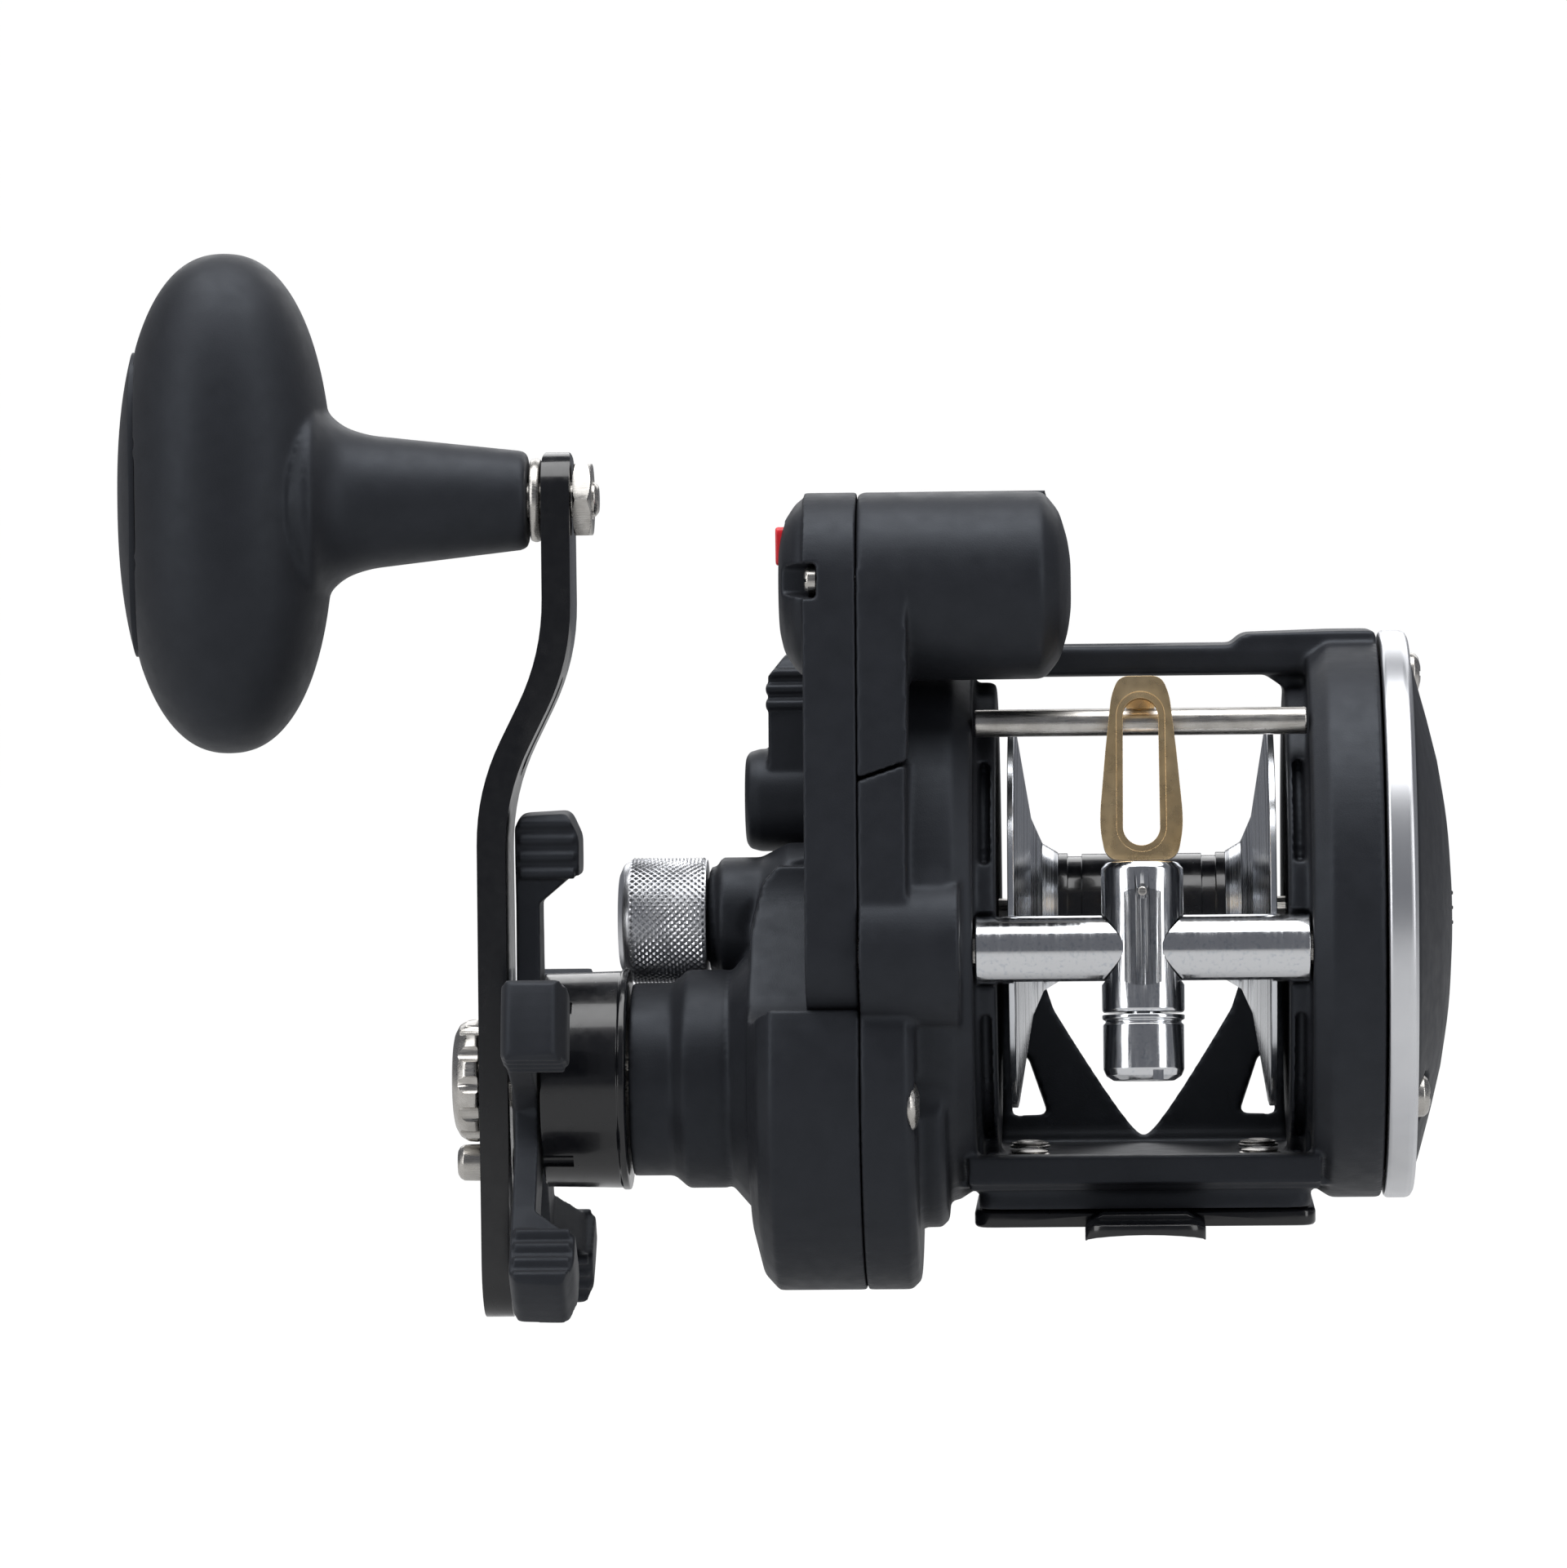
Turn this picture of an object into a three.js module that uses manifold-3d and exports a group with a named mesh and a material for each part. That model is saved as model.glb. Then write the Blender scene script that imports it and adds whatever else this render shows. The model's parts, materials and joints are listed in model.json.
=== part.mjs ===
// Level-wind trolling reel with a line counter.
// Millimetres, +Z up, +X along the spool axis away from the handle, -Y towards the rod tip.
// The origin is the centre of the seat under the reel foot.

import * as THREE from 'three';
import { mergeVertices } from 'three/addons/utils/BufferGeometryUtils.js';
import Module from 'manifold-3d';

const wasm = await Module();
wasm.setup();

// ---------------------------------------------------------------- driving dimensions

const GAP = 0.3;
const SPOOL_AXIS_HEIGHT = 37.6;

const SPOOL_AXIS = { y: 0, z: 0 };
const MAIN_AXIS = { y: -11.2, z: -19.5 };
const WORM_AXIS = { y: -30.2, z: -2.5 };
const COUNTER_AXIS = { y: -22.5, z: 42.6 };
const LEVER_AXIS = { y: 8, z: 15 };

const FRAME_RADIUS = 36;
const WINDOW_HALF = 21;
const CHEEK_HALF = 18.2;
const CHEEK_RADIUS = 30;
const WALL_OUTER = 24.3;
const SEAM_X = -35;
const RIGHT_RING_END = 30;

const SPOOL_HALF = 16.8;
const FLANGE_RADIUS = 24.3;
const ARBOR_RADIUS = 8;
const SHAFT_RADIUS = 2.4;
const SHAFT_BORE = SHAFT_RADIUS + GAP;

const TUBE_RADIUS = 4.2;
const ROD_RADIUS = 1.7;
const ROD_AXIS = { y: -22.5, z: 25.4 };
const GUIDE_LEAN = THREE.MathUtils.degToRad(6);

const FOOT_WIDTH = 15;
const FOOT_LENGTH = 60;
const FOOT_TAB_START = 20.9;
const FOOT_TAB_DROP = 0.5;
const SADDLE_DROP = 0.9;
const WING_HALF = 21.5;
const WING_DEPTH = 14;
const WING_DROP = 0.4;

const COUNTER_RADIUS = 11.8;
const COUNTER_END_X = -8.5;
const TRAIN_COVER_RADIUS = 11.6;
const WORM_COVER_RADIUS = 8.4;

const GEARBOX_RADIUS = 26.8;
const GEARBOX_X = -49.3;
const COVER_PLATE_X = -41.5;
const NECK_RADIUS = 12.2;
const NECK_RING_RADIUS = 13.8;
const NECK_END_X = -64.5;

const DRIVE_RADIUS = 3.4;
const DRAG_RADIUS = 12.4;
const HANDLE_OUTER_X = -83.5;
const HANDLE_THICKNESS = 3.6;
const HANDLE_OFFSET = 8.5;
const HANDLE_REACH = 73.4;
const HANDLE_TAIL = 30;

const STAR_RADIUS = 34.2;
const STAR_ARM_ANGLES = [90, 163, 231, 306, 13].map(THREE.MathUtils.degToRad);

const KNOB_X = -115.2;
const KNOB_HALF_X = 13.5;
const KNOB_HALF_Y = 16;
const KNOB_HALF_Z = 31.6;
const KNOB_STEM_X = -76.9;

const MAIN_TEETH = 51;
const PINION_TEETH = 10;
const MAIN_MODULE = 2 * Math.hypot(MAIN_AXIS.y, MAIN_AXIS.z) / (MAIN_TEETH + PINION_TEETH);
const TRAIN_MODULE = 0.8;
const SPOOL_GEAR_TEETH = 12;
const IDLER_TEETH = 30;
const WORM_GEAR_TEETH = 20;
const COUNTER_GEAR_TEETH = 14;
const COUNTER_IDLER_TEETH = 23;
const CLICK_TEETH = 12;
const CLICK_MODULE = 1.3;

const FINE = 28;
const MEDIUM = 16;
const COARSE = 8;

// ---------------------------------------------------------------- materials

const finish = (colour, roughness, metalness) =>
  new THREE.MeshStandardMaterial({ color: colour, roughness, metalness });

const BLACK_BODY = finish(0x26282b, 0.6, 0);
const BLACK_GLOSS = finish(0x0e0f11, 0.15, 0.2);
const SOFT_BLACK = finish(0x222426, 0.75, 0);
const SATIN_ALUMINIUM = finish(0xc8ccd2, 0.35, 1);
const CHROME = finish(0xdfe3e8, 0.12, 1);
const STEEL = finish(0xb4b4b0, 0.3, 1);
const BRASS = finish(0xc89a52, 0.25, 1);
const RED = finish(0xd22830, 0.35, 0);
const WHITE = finish(0xe8e8e4, 0.4, 0);
const CLEAR = finish(0xbfc8cc, 0.05, 0);
const FIBRE = finish(0x1b1b1d, 0.9, 0);

// ---------------------------------------------------------------- solid helpers

function signedVolume(positions, triangles) {
  const a = new THREE.Vector3();
  const b = new THREE.Vector3();
  const c = new THREE.Vector3();
  let volume = 0;
  for (let i = 0; i < triangles.length; i += 3) {
    a.fromArray(positions, triangles[i] * 3);
    b.fromArray(positions, triangles[i + 1] * 3);
    c.fromArray(positions, triangles[i + 2] * 3);
    volume += a.dot(b.cross(c)) / 6;
  }
  return volume;
}

function toSolid(geometry) {
  const bare = geometry.clone();
  bare.deleteAttribute('normal');
  bare.deleteAttribute('uv');
  const merged = mergeVertices(bare, 1e-4);
  const positions = new Float32Array(merged.attributes.position.array);
  const corners = merged.index.array;
  const kept = [];
  for (let i = 0; i < corners.length; i += 3) {
    const [a, b, c] = [corners[i], corners[i + 1], corners[i + 2]];
    if (a !== b && b !== c && a !== c) kept.push(a, b, c);
  }
  if (signedVolume(positions, kept) < 0) kept.reverse();
  return new wasm.Manifold(new wasm.Mesh({
    numProp: 3,
    vertProperties: positions,
    triVerts: new Uint32Array(kept),
  }));
}

function toGeometry(solid) {
  const mesh = solid.getMesh();
  const geometry = new THREE.BufferGeometry();
  geometry.setAttribute('position', new THREE.BufferAttribute(mesh.vertProperties, 3));
  geometry.setIndex(new THREE.BufferAttribute(mesh.triVerts, 1));
  geometry.computeVertexNormals();
  return geometry;
}

const joined = (first, ...others) => others.reduce((sum, solid) => sum.add(solid), first);
const cut = (first, ...others) => others.reduce((rest, solid) => rest.subtract(solid), first);

function outline(points) {
  return new THREE.Shape(points.map(([u, v]) => new THREE.Vector2(u, v)));
}

// The ring of points around several circles joined like a belt around pulleys.
function beltOutline(circles, steps = MEDIUM) {
  const points = [];
  for (const { y, z, r } of circles) {
    for (let i = 0; i < steps; i += 1) {
      const angle = (i / steps) * 2 * Math.PI;
      points.push([y + r * Math.cos(angle), z + r * Math.sin(angle)]);
    }
  }
  return outline(convexHull(points));
}

function convexHull(points) {
  const sorted = [...points].sort((a, b) => a[0] - b[0] || a[1] - b[1]);
  const turn = (o, a, b) => (a[0] - o[0]) * (b[1] - o[1]) - (a[1] - o[1]) * (b[0] - o[0]);
  const half = (list) => {
    const chain = [];
    for (const point of list) {
      while (chain.length > 1 && turn(chain[chain.length - 2], chain[chain.length - 1], point) <= 1e-6) {
        chain.pop();
      }
      chain.push(point);
    }
    return chain.slice(0, -1);
  };
  return [...half(sorted), ...half(sorted.reverse())];
}

function extruded(shape, depth, bevel = 0) {
  return new THREE.ExtrudeGeometry(shape, {
    depth: depth - 2 * bevel,
    bevelEnabled: bevel > 0,
    bevelThickness: bevel,
    bevelSize: bevel,
    bevelOffset: -bevel,
    bevelSegments: 1,
    curveSegments: COARSE,
  }).translate(0, 0, bevel);
}

// A (Y, Z) outline swept along X.
function prismX(shape, x0, x1, bevel = 0) {
  const geometry = extruded(shape, Math.abs(x1 - x0), bevel);
  const matrix = new THREE.Matrix4().set(
    0, 0, 1, Math.min(x0, x1),
    1, 0, 0, 0,
    0, 1, 0, 0,
    0, 0, 0, 1,
  );
  return toSolid(geometry.applyMatrix4(matrix));
}

// An (X, Z) outline swept along Y.
function prismY(shape, y0, y1, bevel = 0) {
  const geometry = extruded(shape, Math.abs(y1 - y0), bevel);
  return toSolid(geometry.rotateX(Math.PI / 2).translate(0, Math.max(y0, y1), 0));
}

// An (X, Y) outline swept along Z.
function prismZ(shape, z0, z1, bevel = 0) {
  return toSolid(extruded(shape, Math.abs(z1 - z0), bevel).translate(0, 0, Math.min(z0, z1)));
}

function boxBetween([x0, y0, z0], [x1, y1, z1]) {
  const geometry = new THREE.BoxGeometry(x1 - x0, y1 - y0, z1 - z0);
  return toSolid(geometry.translate((x0 + x1) / 2, (y0 + y1) / 2, (z0 + z1) / 2));
}

// Turned about an axis along X: the profile is a list of [x, radius].
function turned(profile, axis = SPOOL_AXIS, segments = MEDIUM) {
  const points = profile.map(([x, radius]) => new THREE.Vector2(radius, x));
  const first = points[0];
  const last = points[points.length - 1];
  if (first.x > 0) points.unshift(new THREE.Vector2(0, first.y));
  if (last.x > 0) points.push(new THREE.Vector2(0, last.y));
  const geometry = new THREE.LatheGeometry(points, segments);
  return toSolid(geometry.rotateZ(-Math.PI / 2).translate(0, axis.y, axis.z));
}

const rod = (x0, x1, radius, axis = SPOOL_AXIS, segments = MEDIUM) =>
  turned([[x0, radius], [x1, radius]], axis, segments);

const ring = (x0, x1, bore, radius, axis = SPOOL_AXIS, segments = MEDIUM) =>
  cut(rod(x0, x1, radius, axis, segments), rod(x0 - 1, x1 + 1, bore, axis, segments));

// Upright round piece: the profile is a list of [z, radius].
function turnedUpright(profile, x, y, segments = COARSE) {
  const points = profile.map(([z, radius]) => new THREE.Vector2(radius, z));
  points.unshift(new THREE.Vector2(0, profile[0][0]));
  points.push(new THREE.Vector2(0, profile[profile.length - 1][0]));
  return toSolid(new THREE.LatheGeometry(points, segments).rotateX(Math.PI / 2).translate(x, y, 0));
}

// ---------------------------------------------------------------- gears

const pitchRadius = (teeth, module) => teeth * module / 2;

function gearOutline(teeth, module, phase, axis) {
  const root = pitchRadius(teeth, module) - 1.15 * module;
  const tip = pitchRadius(teeth, module) + 0.7 * module;
  const pitch = 2 * Math.PI / teeth;
  const points = [];
  for (let tooth = 0; tooth < teeth; tooth += 1) {
    const centre = phase + tooth * pitch;
    for (const [radius, share] of [[root, -0.27], [tip, -0.11], [tip, 0.11], [root, 0.27]]) {
      const angle = centre + share * pitch;
      points.push([axis.y + radius * Math.cos(angle), axis.z + radius * Math.sin(angle)]);
    }
  }
  return outline(points);
}

function gear(teeth, module, phase, axis, x0, x1) {
  return prismX(gearOutline(teeth, module, phase, axis), x0, x1);
}

const direction = (from, to) => Math.atan2(to.z - from.z, to.y - from.y);

// The phase that makes a driven gear's gap meet the driver's tooth on the line of centres.
function meshingPhase(driverPhase, driverTeeth, driverAxis, drivenTeeth, drivenAxis) {
  const line = direction(driverAxis, drivenAxis);
  const offset = (line - driverPhase) / (2 * Math.PI / driverTeeth);
  return line + Math.PI + (offset + 0.5) * (2 * Math.PI / drivenTeeth);
}

// The point at two given distances from two axes, on the left of the line between them.
function meetingPoint(first, firstDistance, second, secondDistance) {
  const span = Math.hypot(second.y - first.y, second.z - first.z);
  const along = (firstDistance ** 2 - secondDistance ** 2 + span ** 2) / (2 * span);
  const aside = Math.sqrt(firstDistance ** 2 - along ** 2);
  const uy = (second.y - first.y) / span;
  const uz = (second.z - first.z) / span;
  return { y: first.y + along * uy + aside * uz, z: first.z + along * uz - aside * uy };
}

// A point along the line between two axes, set off to the right of that line.
function pointBeside(from, to, along, aside) {
  const span = Math.hypot(to.y - from.y, to.z - from.z);
  const uy = (to.y - from.y) / span;
  const uz = (to.z - from.z) / span;
  return { y: from.y + along * uy + aside * uz, z: from.z + along * uz - aside * uy };
}

const IDLER_AXIS = meetingPoint(
  SPOOL_AXIS, pitchRadius(SPOOL_GEAR_TEETH + IDLER_TEETH, TRAIN_MODULE),
  WORM_AXIS, pitchRadius(IDLER_TEETH + WORM_GEAR_TEETH, TRAIN_MODULE),
);
const COUNTER_STEP = pitchRadius(COUNTER_GEAR_TEETH + COUNTER_IDLER_TEETH, TRAIN_MODULE);
const COUNTER_SPAN = Math.hypot(COUNTER_AXIS.y - WORM_AXIS.y, COUNTER_AXIS.z - WORM_AXIS.z);
const IDLER_ALONG = (COUNTER_SPAN - 2 * pitchRadius(COUNTER_IDLER_TEETH, TRAIN_MODULE)) / 2;
const IDLER_ASIDE = Math.sqrt(COUNTER_STEP ** 2 - IDLER_ALONG ** 2);
const LOWER_IDLER_AXIS = pointBeside(WORM_AXIS, COUNTER_AXIS, IDLER_ALONG, IDLER_ASIDE);
const UPPER_IDLER_AXIS = pointBeside(WORM_AXIS, COUNTER_AXIS, COUNTER_SPAN - IDLER_ALONG, IDLER_ASIDE);

// ---------------------------------------------------------------- the object

const reel = new THREE.Group();
reel.position.z = SPOOL_AXIS_HEIGHT;

function add(name, solid, material) {
  const mesh = new THREE.Mesh(toGeometry(solid), material);
  mesh.name = name;
  reel.add(mesh);
}

// ---------------------------------------------------------------- frame

const circle = (axis, r) => ({ y: axis.y, z: axis.z, r });

function trainCoverOutline(grow) {
  return beltOutline([
    circle(WORM_AXIS, WORM_COVER_RADIUS + grow),
    circle(LOWER_IDLER_AXIS, TRAIN_COVER_RADIUS + grow),
    circle(UPPER_IDLER_AXIS, TRAIN_COVER_RADIUS + grow),
    circle(COUNTER_AXIS, COUNTER_RADIUS + grow),
  ]);
}

function sideHousing() {
  const ringWall = rod(SEAM_X, -WINDOW_HALF, FRAME_RADIUS, SPOOL_AXIS, FINE);
  const gearBulge = rod(SEAM_X, -27.9, GEARBOX_RADIUS, MAIN_AXIS, FINE);
  const innerBulge = rod(-27.9, -24.6, 19, MAIN_AXIS, MEDIUM);
  const wormBulge = rod(SEAM_X, -22.5, WORM_COVER_RADIUS + 1.6, WORM_AXIS, MEDIUM);
  const trainBulge = prismX(trainCoverOutline(0), SEAM_X, -29.4);
  const belowLeg = boxBetween([-50, -60, -60], [0, 60, 18.8]);
  const hollow = joined(
    rod(SEAM_X - 1, -WALL_OUTER, 32, SPOOL_AXIS, FINE),
    rod(SEAM_X - 1, -30.4, GEARBOX_RADIUS - 3.4, MAIN_AXIS, FINE),
    rod(SEAM_X - 1, -WALL_OUTER, WORM_COVER_RADIUS + 0.8, WORM_AXIS, MEDIUM),
  );
  const outer = joined(ringWall, gearBulge, innerBulge, wormBulge, trainBulge.intersect(belowLeg));
  return cut(outer, hollow);
}

function palmHousing() {
  const ringWall = turned(
    [[WINDOW_HALF, FRAME_RADIUS - 0.8], [WINDOW_HALF + 0.8, FRAME_RADIUS], [RIGHT_RING_END, FRAME_RADIUS]],
    SPOOL_AXIS, FINE,
  );
  return cut(ringWall, rod(WALL_OUTER, RIGHT_RING_END + 1, 32, SPOOL_AXIS, FINE));
}

function cheek(side) {
  const disc = turned(
    side < 0
      ? [
        [-WINDOW_HALF - 0.5, CHEEK_RADIUS],
        [-CHEEK_HALF - 0.8, CHEEK_RADIUS],
        [-CHEEK_HALF, CHEEK_RADIUS - 1.4],
      ]
      : [
        [CHEEK_HALF, CHEEK_RADIUS - 1.4],
        [CHEEK_HALF + 0.8, CHEEK_RADIUS],
        [WINDOW_HALF + 0.5, CHEEK_RADIUS],
      ],
    SPOOL_AXIS, FINE,
  );
  const tubeClearance = rod(
    side * (CHEEK_HALF - 1), side * WINDOW_HALF, TUBE_RADIUS + 0.6, WORM_AXIS,
  );
  return cut(disc, tubeClearance);
}

function topBar() {
  const section = outline([
    [-9.2, 31.8], [-8.2, 30.8], [9.2, 30.8], [9.2, 34],
    [8.6, 34.7], [-8, 34.7], [-9.2, 33.6],
  ]);
  const bar = prismX(section, -WINDOW_HALF - 1, WINDOW_HALF + 1);
  const shoulder = prismY(
    outline([[11, 34], [13, 36], [24, 36.3], [29.5, 36.3], [29.5, 33], [11, 33]]), -9, 9,
  );
  return joined(bar, shoulder);
}

function bottomBar() {
  const plate = boxBetween([-WINDOW_HALF - 1, -19, -33.4], [WINDOW_HALF + 1, 19, -30.3]);
  const lip = boxBetween([-WINDOW_HALF - 1, -20.4, -32.6], [WINDOW_HALF + 1, -16.8, -28.9]);
  const step = boxBetween([-WINDOW_HALF - 1, -16, -36], [WINDOW_HALF + 1, 16, -33]);
  return joined(plate, lip, step);
}

// The plate behind the spool: a base band with two horns around a round-bottomed opening.
function rearBrace() {
  const width = 18.6;
  const height = 26;
  const plate = outline([[-width, 0], [width, 0], [width, height], [-width, height]]);
  const opening = new THREE.Path();
  opening.moveTo(-14.2, height + 1);
  opening.lineTo(-11.6, 19);
  opening.quadraticCurveTo(-4.2, 2.2, 0, 2.2);
  opening.quadraticCurveTo(4.2, 2.2, 11.6, 19);
  opening.lineTo(14.2, height + 1);
  const middle = new THREE.Shape(opening.getPoints(8));
  const corner = (side) => outline([
    [side * 12.4, 5.1], [side * 17.2, 4.9], [side * 16.4, 11], [side * 15.4, 14],
  ]);
  const flat = cut(
    prismY(plate, -1.1, 1.1),
    prismY(middle, -3, 3),
    prismY(corner(-1), -3, 3),
    prismY(corner(1), -3, 3),
  );
  return flat.rotate([-14, 0, 0]).translate([0, 18.6, -31.8]);
}

function rivetPlaces() {
  const places = [];
  for (const x of [-14.6, 14.6]) {
    for (const y of [-6.7, 6.7]) places.push([x, y]);
  }
  return places;
}

const RIVET_SHANK = 1.3;
const COVER_SCREW_AXIS = { y: -33.5, z: -21.5 };

function addFrame() {
  const body = joined(sideHousing(), palmHousing(), cheek(-1), cheek(1), topBar(), bottomBar(), rearBrace());
  const holes = [
    rod(-WALL_OUTER - 1, -19, 8.2),
    rod(-20, -17, 4.2),
    rod(19, WALL_OUTER + 1, 8.2),
    rod(17, 20, 4.2),
    rod(-WALL_OUTER - 1, -20, 2.6, WORM_AXIS, COARSE),
    rod(20, 23.4, 2.6, WORM_AXIS, COARSE),
    rod(-40, -WALL_OUTER + 0.6, 3.9, MAIN_AXIS, COARSE),
    rod(-29.9, -20, 3.8, COVER_SCREW_AXIS, 12),
    rod(-32, -20, 1.3 + GAP, COVER_SCREW_AXIS, COARSE),
  ];
  for (const [x, y] of rivetPlaces()) {
    holes.push(turnedUpright([[-40, RIVET_SHANK + GAP], [-28, RIVET_SHANK + GAP]], x, y));
  }
  add('frame', cut(body, ...holes), BLACK_BODY);
}

// ---------------------------------------------------------------- foot

const STEP_BOTTOM = -36;

function addFoot() {
  const seat = -SPOOL_AXIS_HEIGHT;
  const half = FOOT_WIDTH / 2;
  const top = STEP_BOTTOM - GAP;
  const saddle = outline([
    [-half, seat - SADDLE_DROP], [-half * 0.72, seat - SADDLE_DROP * 0.45], [-half * 0.36, seat],
    [half * 0.36, seat], [half * 0.72, seat - SADDLE_DROP * 0.45], [half, seat - SADDLE_DROP],
    [half, top - 0.9], [half * 0.7, top], [-half * 0.7, top], [-half, top - 0.9],
  ]);
  const tongue = prismY(saddle, -FOOT_LENGTH / 2, FOOT_LENGTH / 2);
  const tipTrim = outline([
    [-half - 1, -FOOT_LENGTH / 2 + 5], [-half + 2.5, -FOOT_LENGTH / 2], [half - 2.5, -FOOT_LENGTH / 2],
    [half + 1, -FOOT_LENGTH / 2 + 5], [half + 1, FOOT_LENGTH / 2 - 5], [half - 2.5, FOOT_LENGTH / 2],
    [-half + 2.5, FOOT_LENGTH / 2], [-half - 1, FOOT_LENGTH / 2 - 5],
  ]);
  const wings = prismZ(
    outline([
      [-WING_HALF, -WING_DEPTH], [WING_HALF, -WING_DEPTH], [WING_HALF, WING_DEPTH], [-WING_HALF, WING_DEPTH],
    ]),
    seat - WING_DROP, top, 0.4,
  );
  const channel = prismY(outline([
    [-half + 0.02, seat - 2], [-half + 0.02, seat - SADDLE_DROP], [-half * 0.72, seat - SADDLE_DROP * 0.45],
    [-half * 0.36, seat], [half * 0.36, seat], [half * 0.72, seat - SADDLE_DROP * 0.45],
    [half - 0.02, seat - SADDLE_DROP], [half - 0.02, seat - 2],
  ]), -40, 40);
  const tabTrim = [-1, 1].map((side) => boxBetween(
    [-half - 1, side > 0 ? FOOT_TAB_START : -FOOT_LENGTH, top - FOOT_TAB_DROP],
    [half + 1, side > 0 ? FOOT_LENGTH : -FOOT_TAB_START, top + 1],
  ));
  const trimmed = cut(tongue.intersect(prismZ(tipTrim, -60, 0)), ...tabTrim);
  const holes = rivetPlaces().map(([x, y]) =>
    turnedUpright([[-60, RIVET_SHANK + GAP], [0, RIVET_SHANK + GAP]], x, y));
  add('reel_foot', cut(joined(trimmed, wings), channel, ...holes), BLACK_GLOSS);
  rivetPlaces().forEach(([x, y], index) => {
    const rivet = turnedUpright([
      [seat - 0.9, 1.6], [seat - 0.4, 2.1], [seat - 0.4, RIVET_SHANK],
      [-30.3 + GAP, RIVET_SHANK], [-30.3 + GAP, 2.6], [-29.6, 2.5], [-29.1, 1.4],
    ], x, y);
    add(`foot_rivet_${index + 1}`, rivet, STEEL);
  });
}

// ---------------------------------------------------------------- level wind

function leaned(solid) {
  return solid
    .translate([0, -WORM_AXIS.y, -WORM_AXIS.z])
    .rotate([-THREE.MathUtils.radToDeg(GUIDE_LEAN), 0, 0])
    .translate([0, WORM_AXIS.y, WORM_AXIS.z]);
}

function addLevelWindRods() {
  const reach = WINDOW_HALF - GAP;
  add('stabilizer_rod', rod(-reach, reach, ROD_RADIUS, ROD_AXIS, COARSE), STEEL);
  const slot = leaned(boxBetween([-16, WORM_AXIS.y - 1.6, -20], [16, WORM_AXIS.y + 1.6, WORM_AXIS.z]));
  const tube = cut(
    rod(-reach, reach, TUBE_RADIUS, WORM_AXIS),
    rod(-reach - 1, reach + 1, TUBE_RADIUS - 1.1, WORM_AXIS),
    slot,
  );
  add('worm_tube', tube, CHROME);
}

const BARREL_TOP = 8.2;
const BARREL_BOTTOM = -10.4;
const BARREL_RADIUS = 5.1;
const CAP_BOTTOM = -18.8;

function addCarriage() {
  const centre = WORM_AXIS;
  const upright = (profile) => turnedUpright(profile, 0, centre.y, MEDIUM);
  const barrel = upright([[BARREL_BOTTOM, BARREL_RADIUS], [BARREL_TOP, BARREL_RADIUS]]);
  const flat = boxBetween([-6, -60, -9.4], [6, centre.y - 4.6, 6.6]);
  const tubeHole = rod(-6, 6, TUBE_RADIUS + GAP, centre);
  const socket = upright([[-40, 2.4], [centre.z - 3, 2.4]]);
  const pinHole = prismY(outline(circlePoints(0, 4.4, 0.9)), centre.y - 8, centre.y - 3);
  add('pawl_carriage', leaned(cut(barrel, tubeHole, flat, socket, pinHole)), CHROME);

  const cap = upright([
    [CAP_BOTTOM, 3.6], [CAP_BOTTOM + 1, 4.9], [BARREL_BOTTOM - GAP, BARREL_RADIUS],
  ]);
  const driverSlot = boxBetween([-6, centre.y - 0.6, CAP_BOTTOM - 2], [6, centre.y + 0.6, CAP_BOTTOM + 0.9]);
  const follower = centre.z - TUBE_RADIUS;
  const stub = upright([
    [BARREL_BOTTOM - 1, 2.1], [follower - 0.6, 2.1],
    [follower - 0.6, 1.1], [follower + 1.3, 1.1],
  ]);
  add('pawl_cap', leaned(cut(joined(cap, stub), driverSlot)), CHROME);

  const pin = prismY(outline(circlePoints(0, 4.4, 0.6)), centre.y - 5.2, centre.y - 3.3);
  add('guide_pin', leaned(pin), STEEL);
}

function circlePoints(x, z, radius, steps = COARSE) {
  const points = [];
  for (let i = 0; i < steps; i += 1) {
    const angle = (i / steps) * 2 * Math.PI;
    points.push([x + radius * Math.cos(angle), z + radius * Math.sin(angle)]);
  }
  return points;
}

function stadium(x, z0, z1, lowerRadius, upperRadius) {
  return outline(convexHull([
    ...circlePoints(x, z0, lowerRadius),
    ...circlePoints(x, z1, upperRadius),
  ]));
}

function addLineGuide() {
  const y = WORM_AXIS.y;
  const loop = outline(convexHull([
    [-4.4, 8.2 + GAP], [4.4, 8.2 + GAP], [5.1, 12.6], [5.0, 15], [3.7, 28],
    ...circlePoints(-1.6, 29.6, 1.8), ...circlePoints(1.6, 29.6, 1.8), [-3.7, 28], [-5.0, 15], [-5.1, 12.6],
  ]));
  const slot = stadium(0, 12.2, 26.4, 2.3, 2.2);
  const plate = cut(prismY(loop, y - 1.5, y + 1.5), prismY(slot, y - 4, y + 4));
  const hook = boxBetween([-1.8, y + 1, 30.0], [1.8, y + 9.8, 31.2]);
  const hookTip = boxBetween([-1.8, y + 8.4, 25.6], [1.8, y + 9.8, 30.6]);
  add('line_guide', leaned(joined(plate, hook, hookTip)), BRASS);
}

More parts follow.
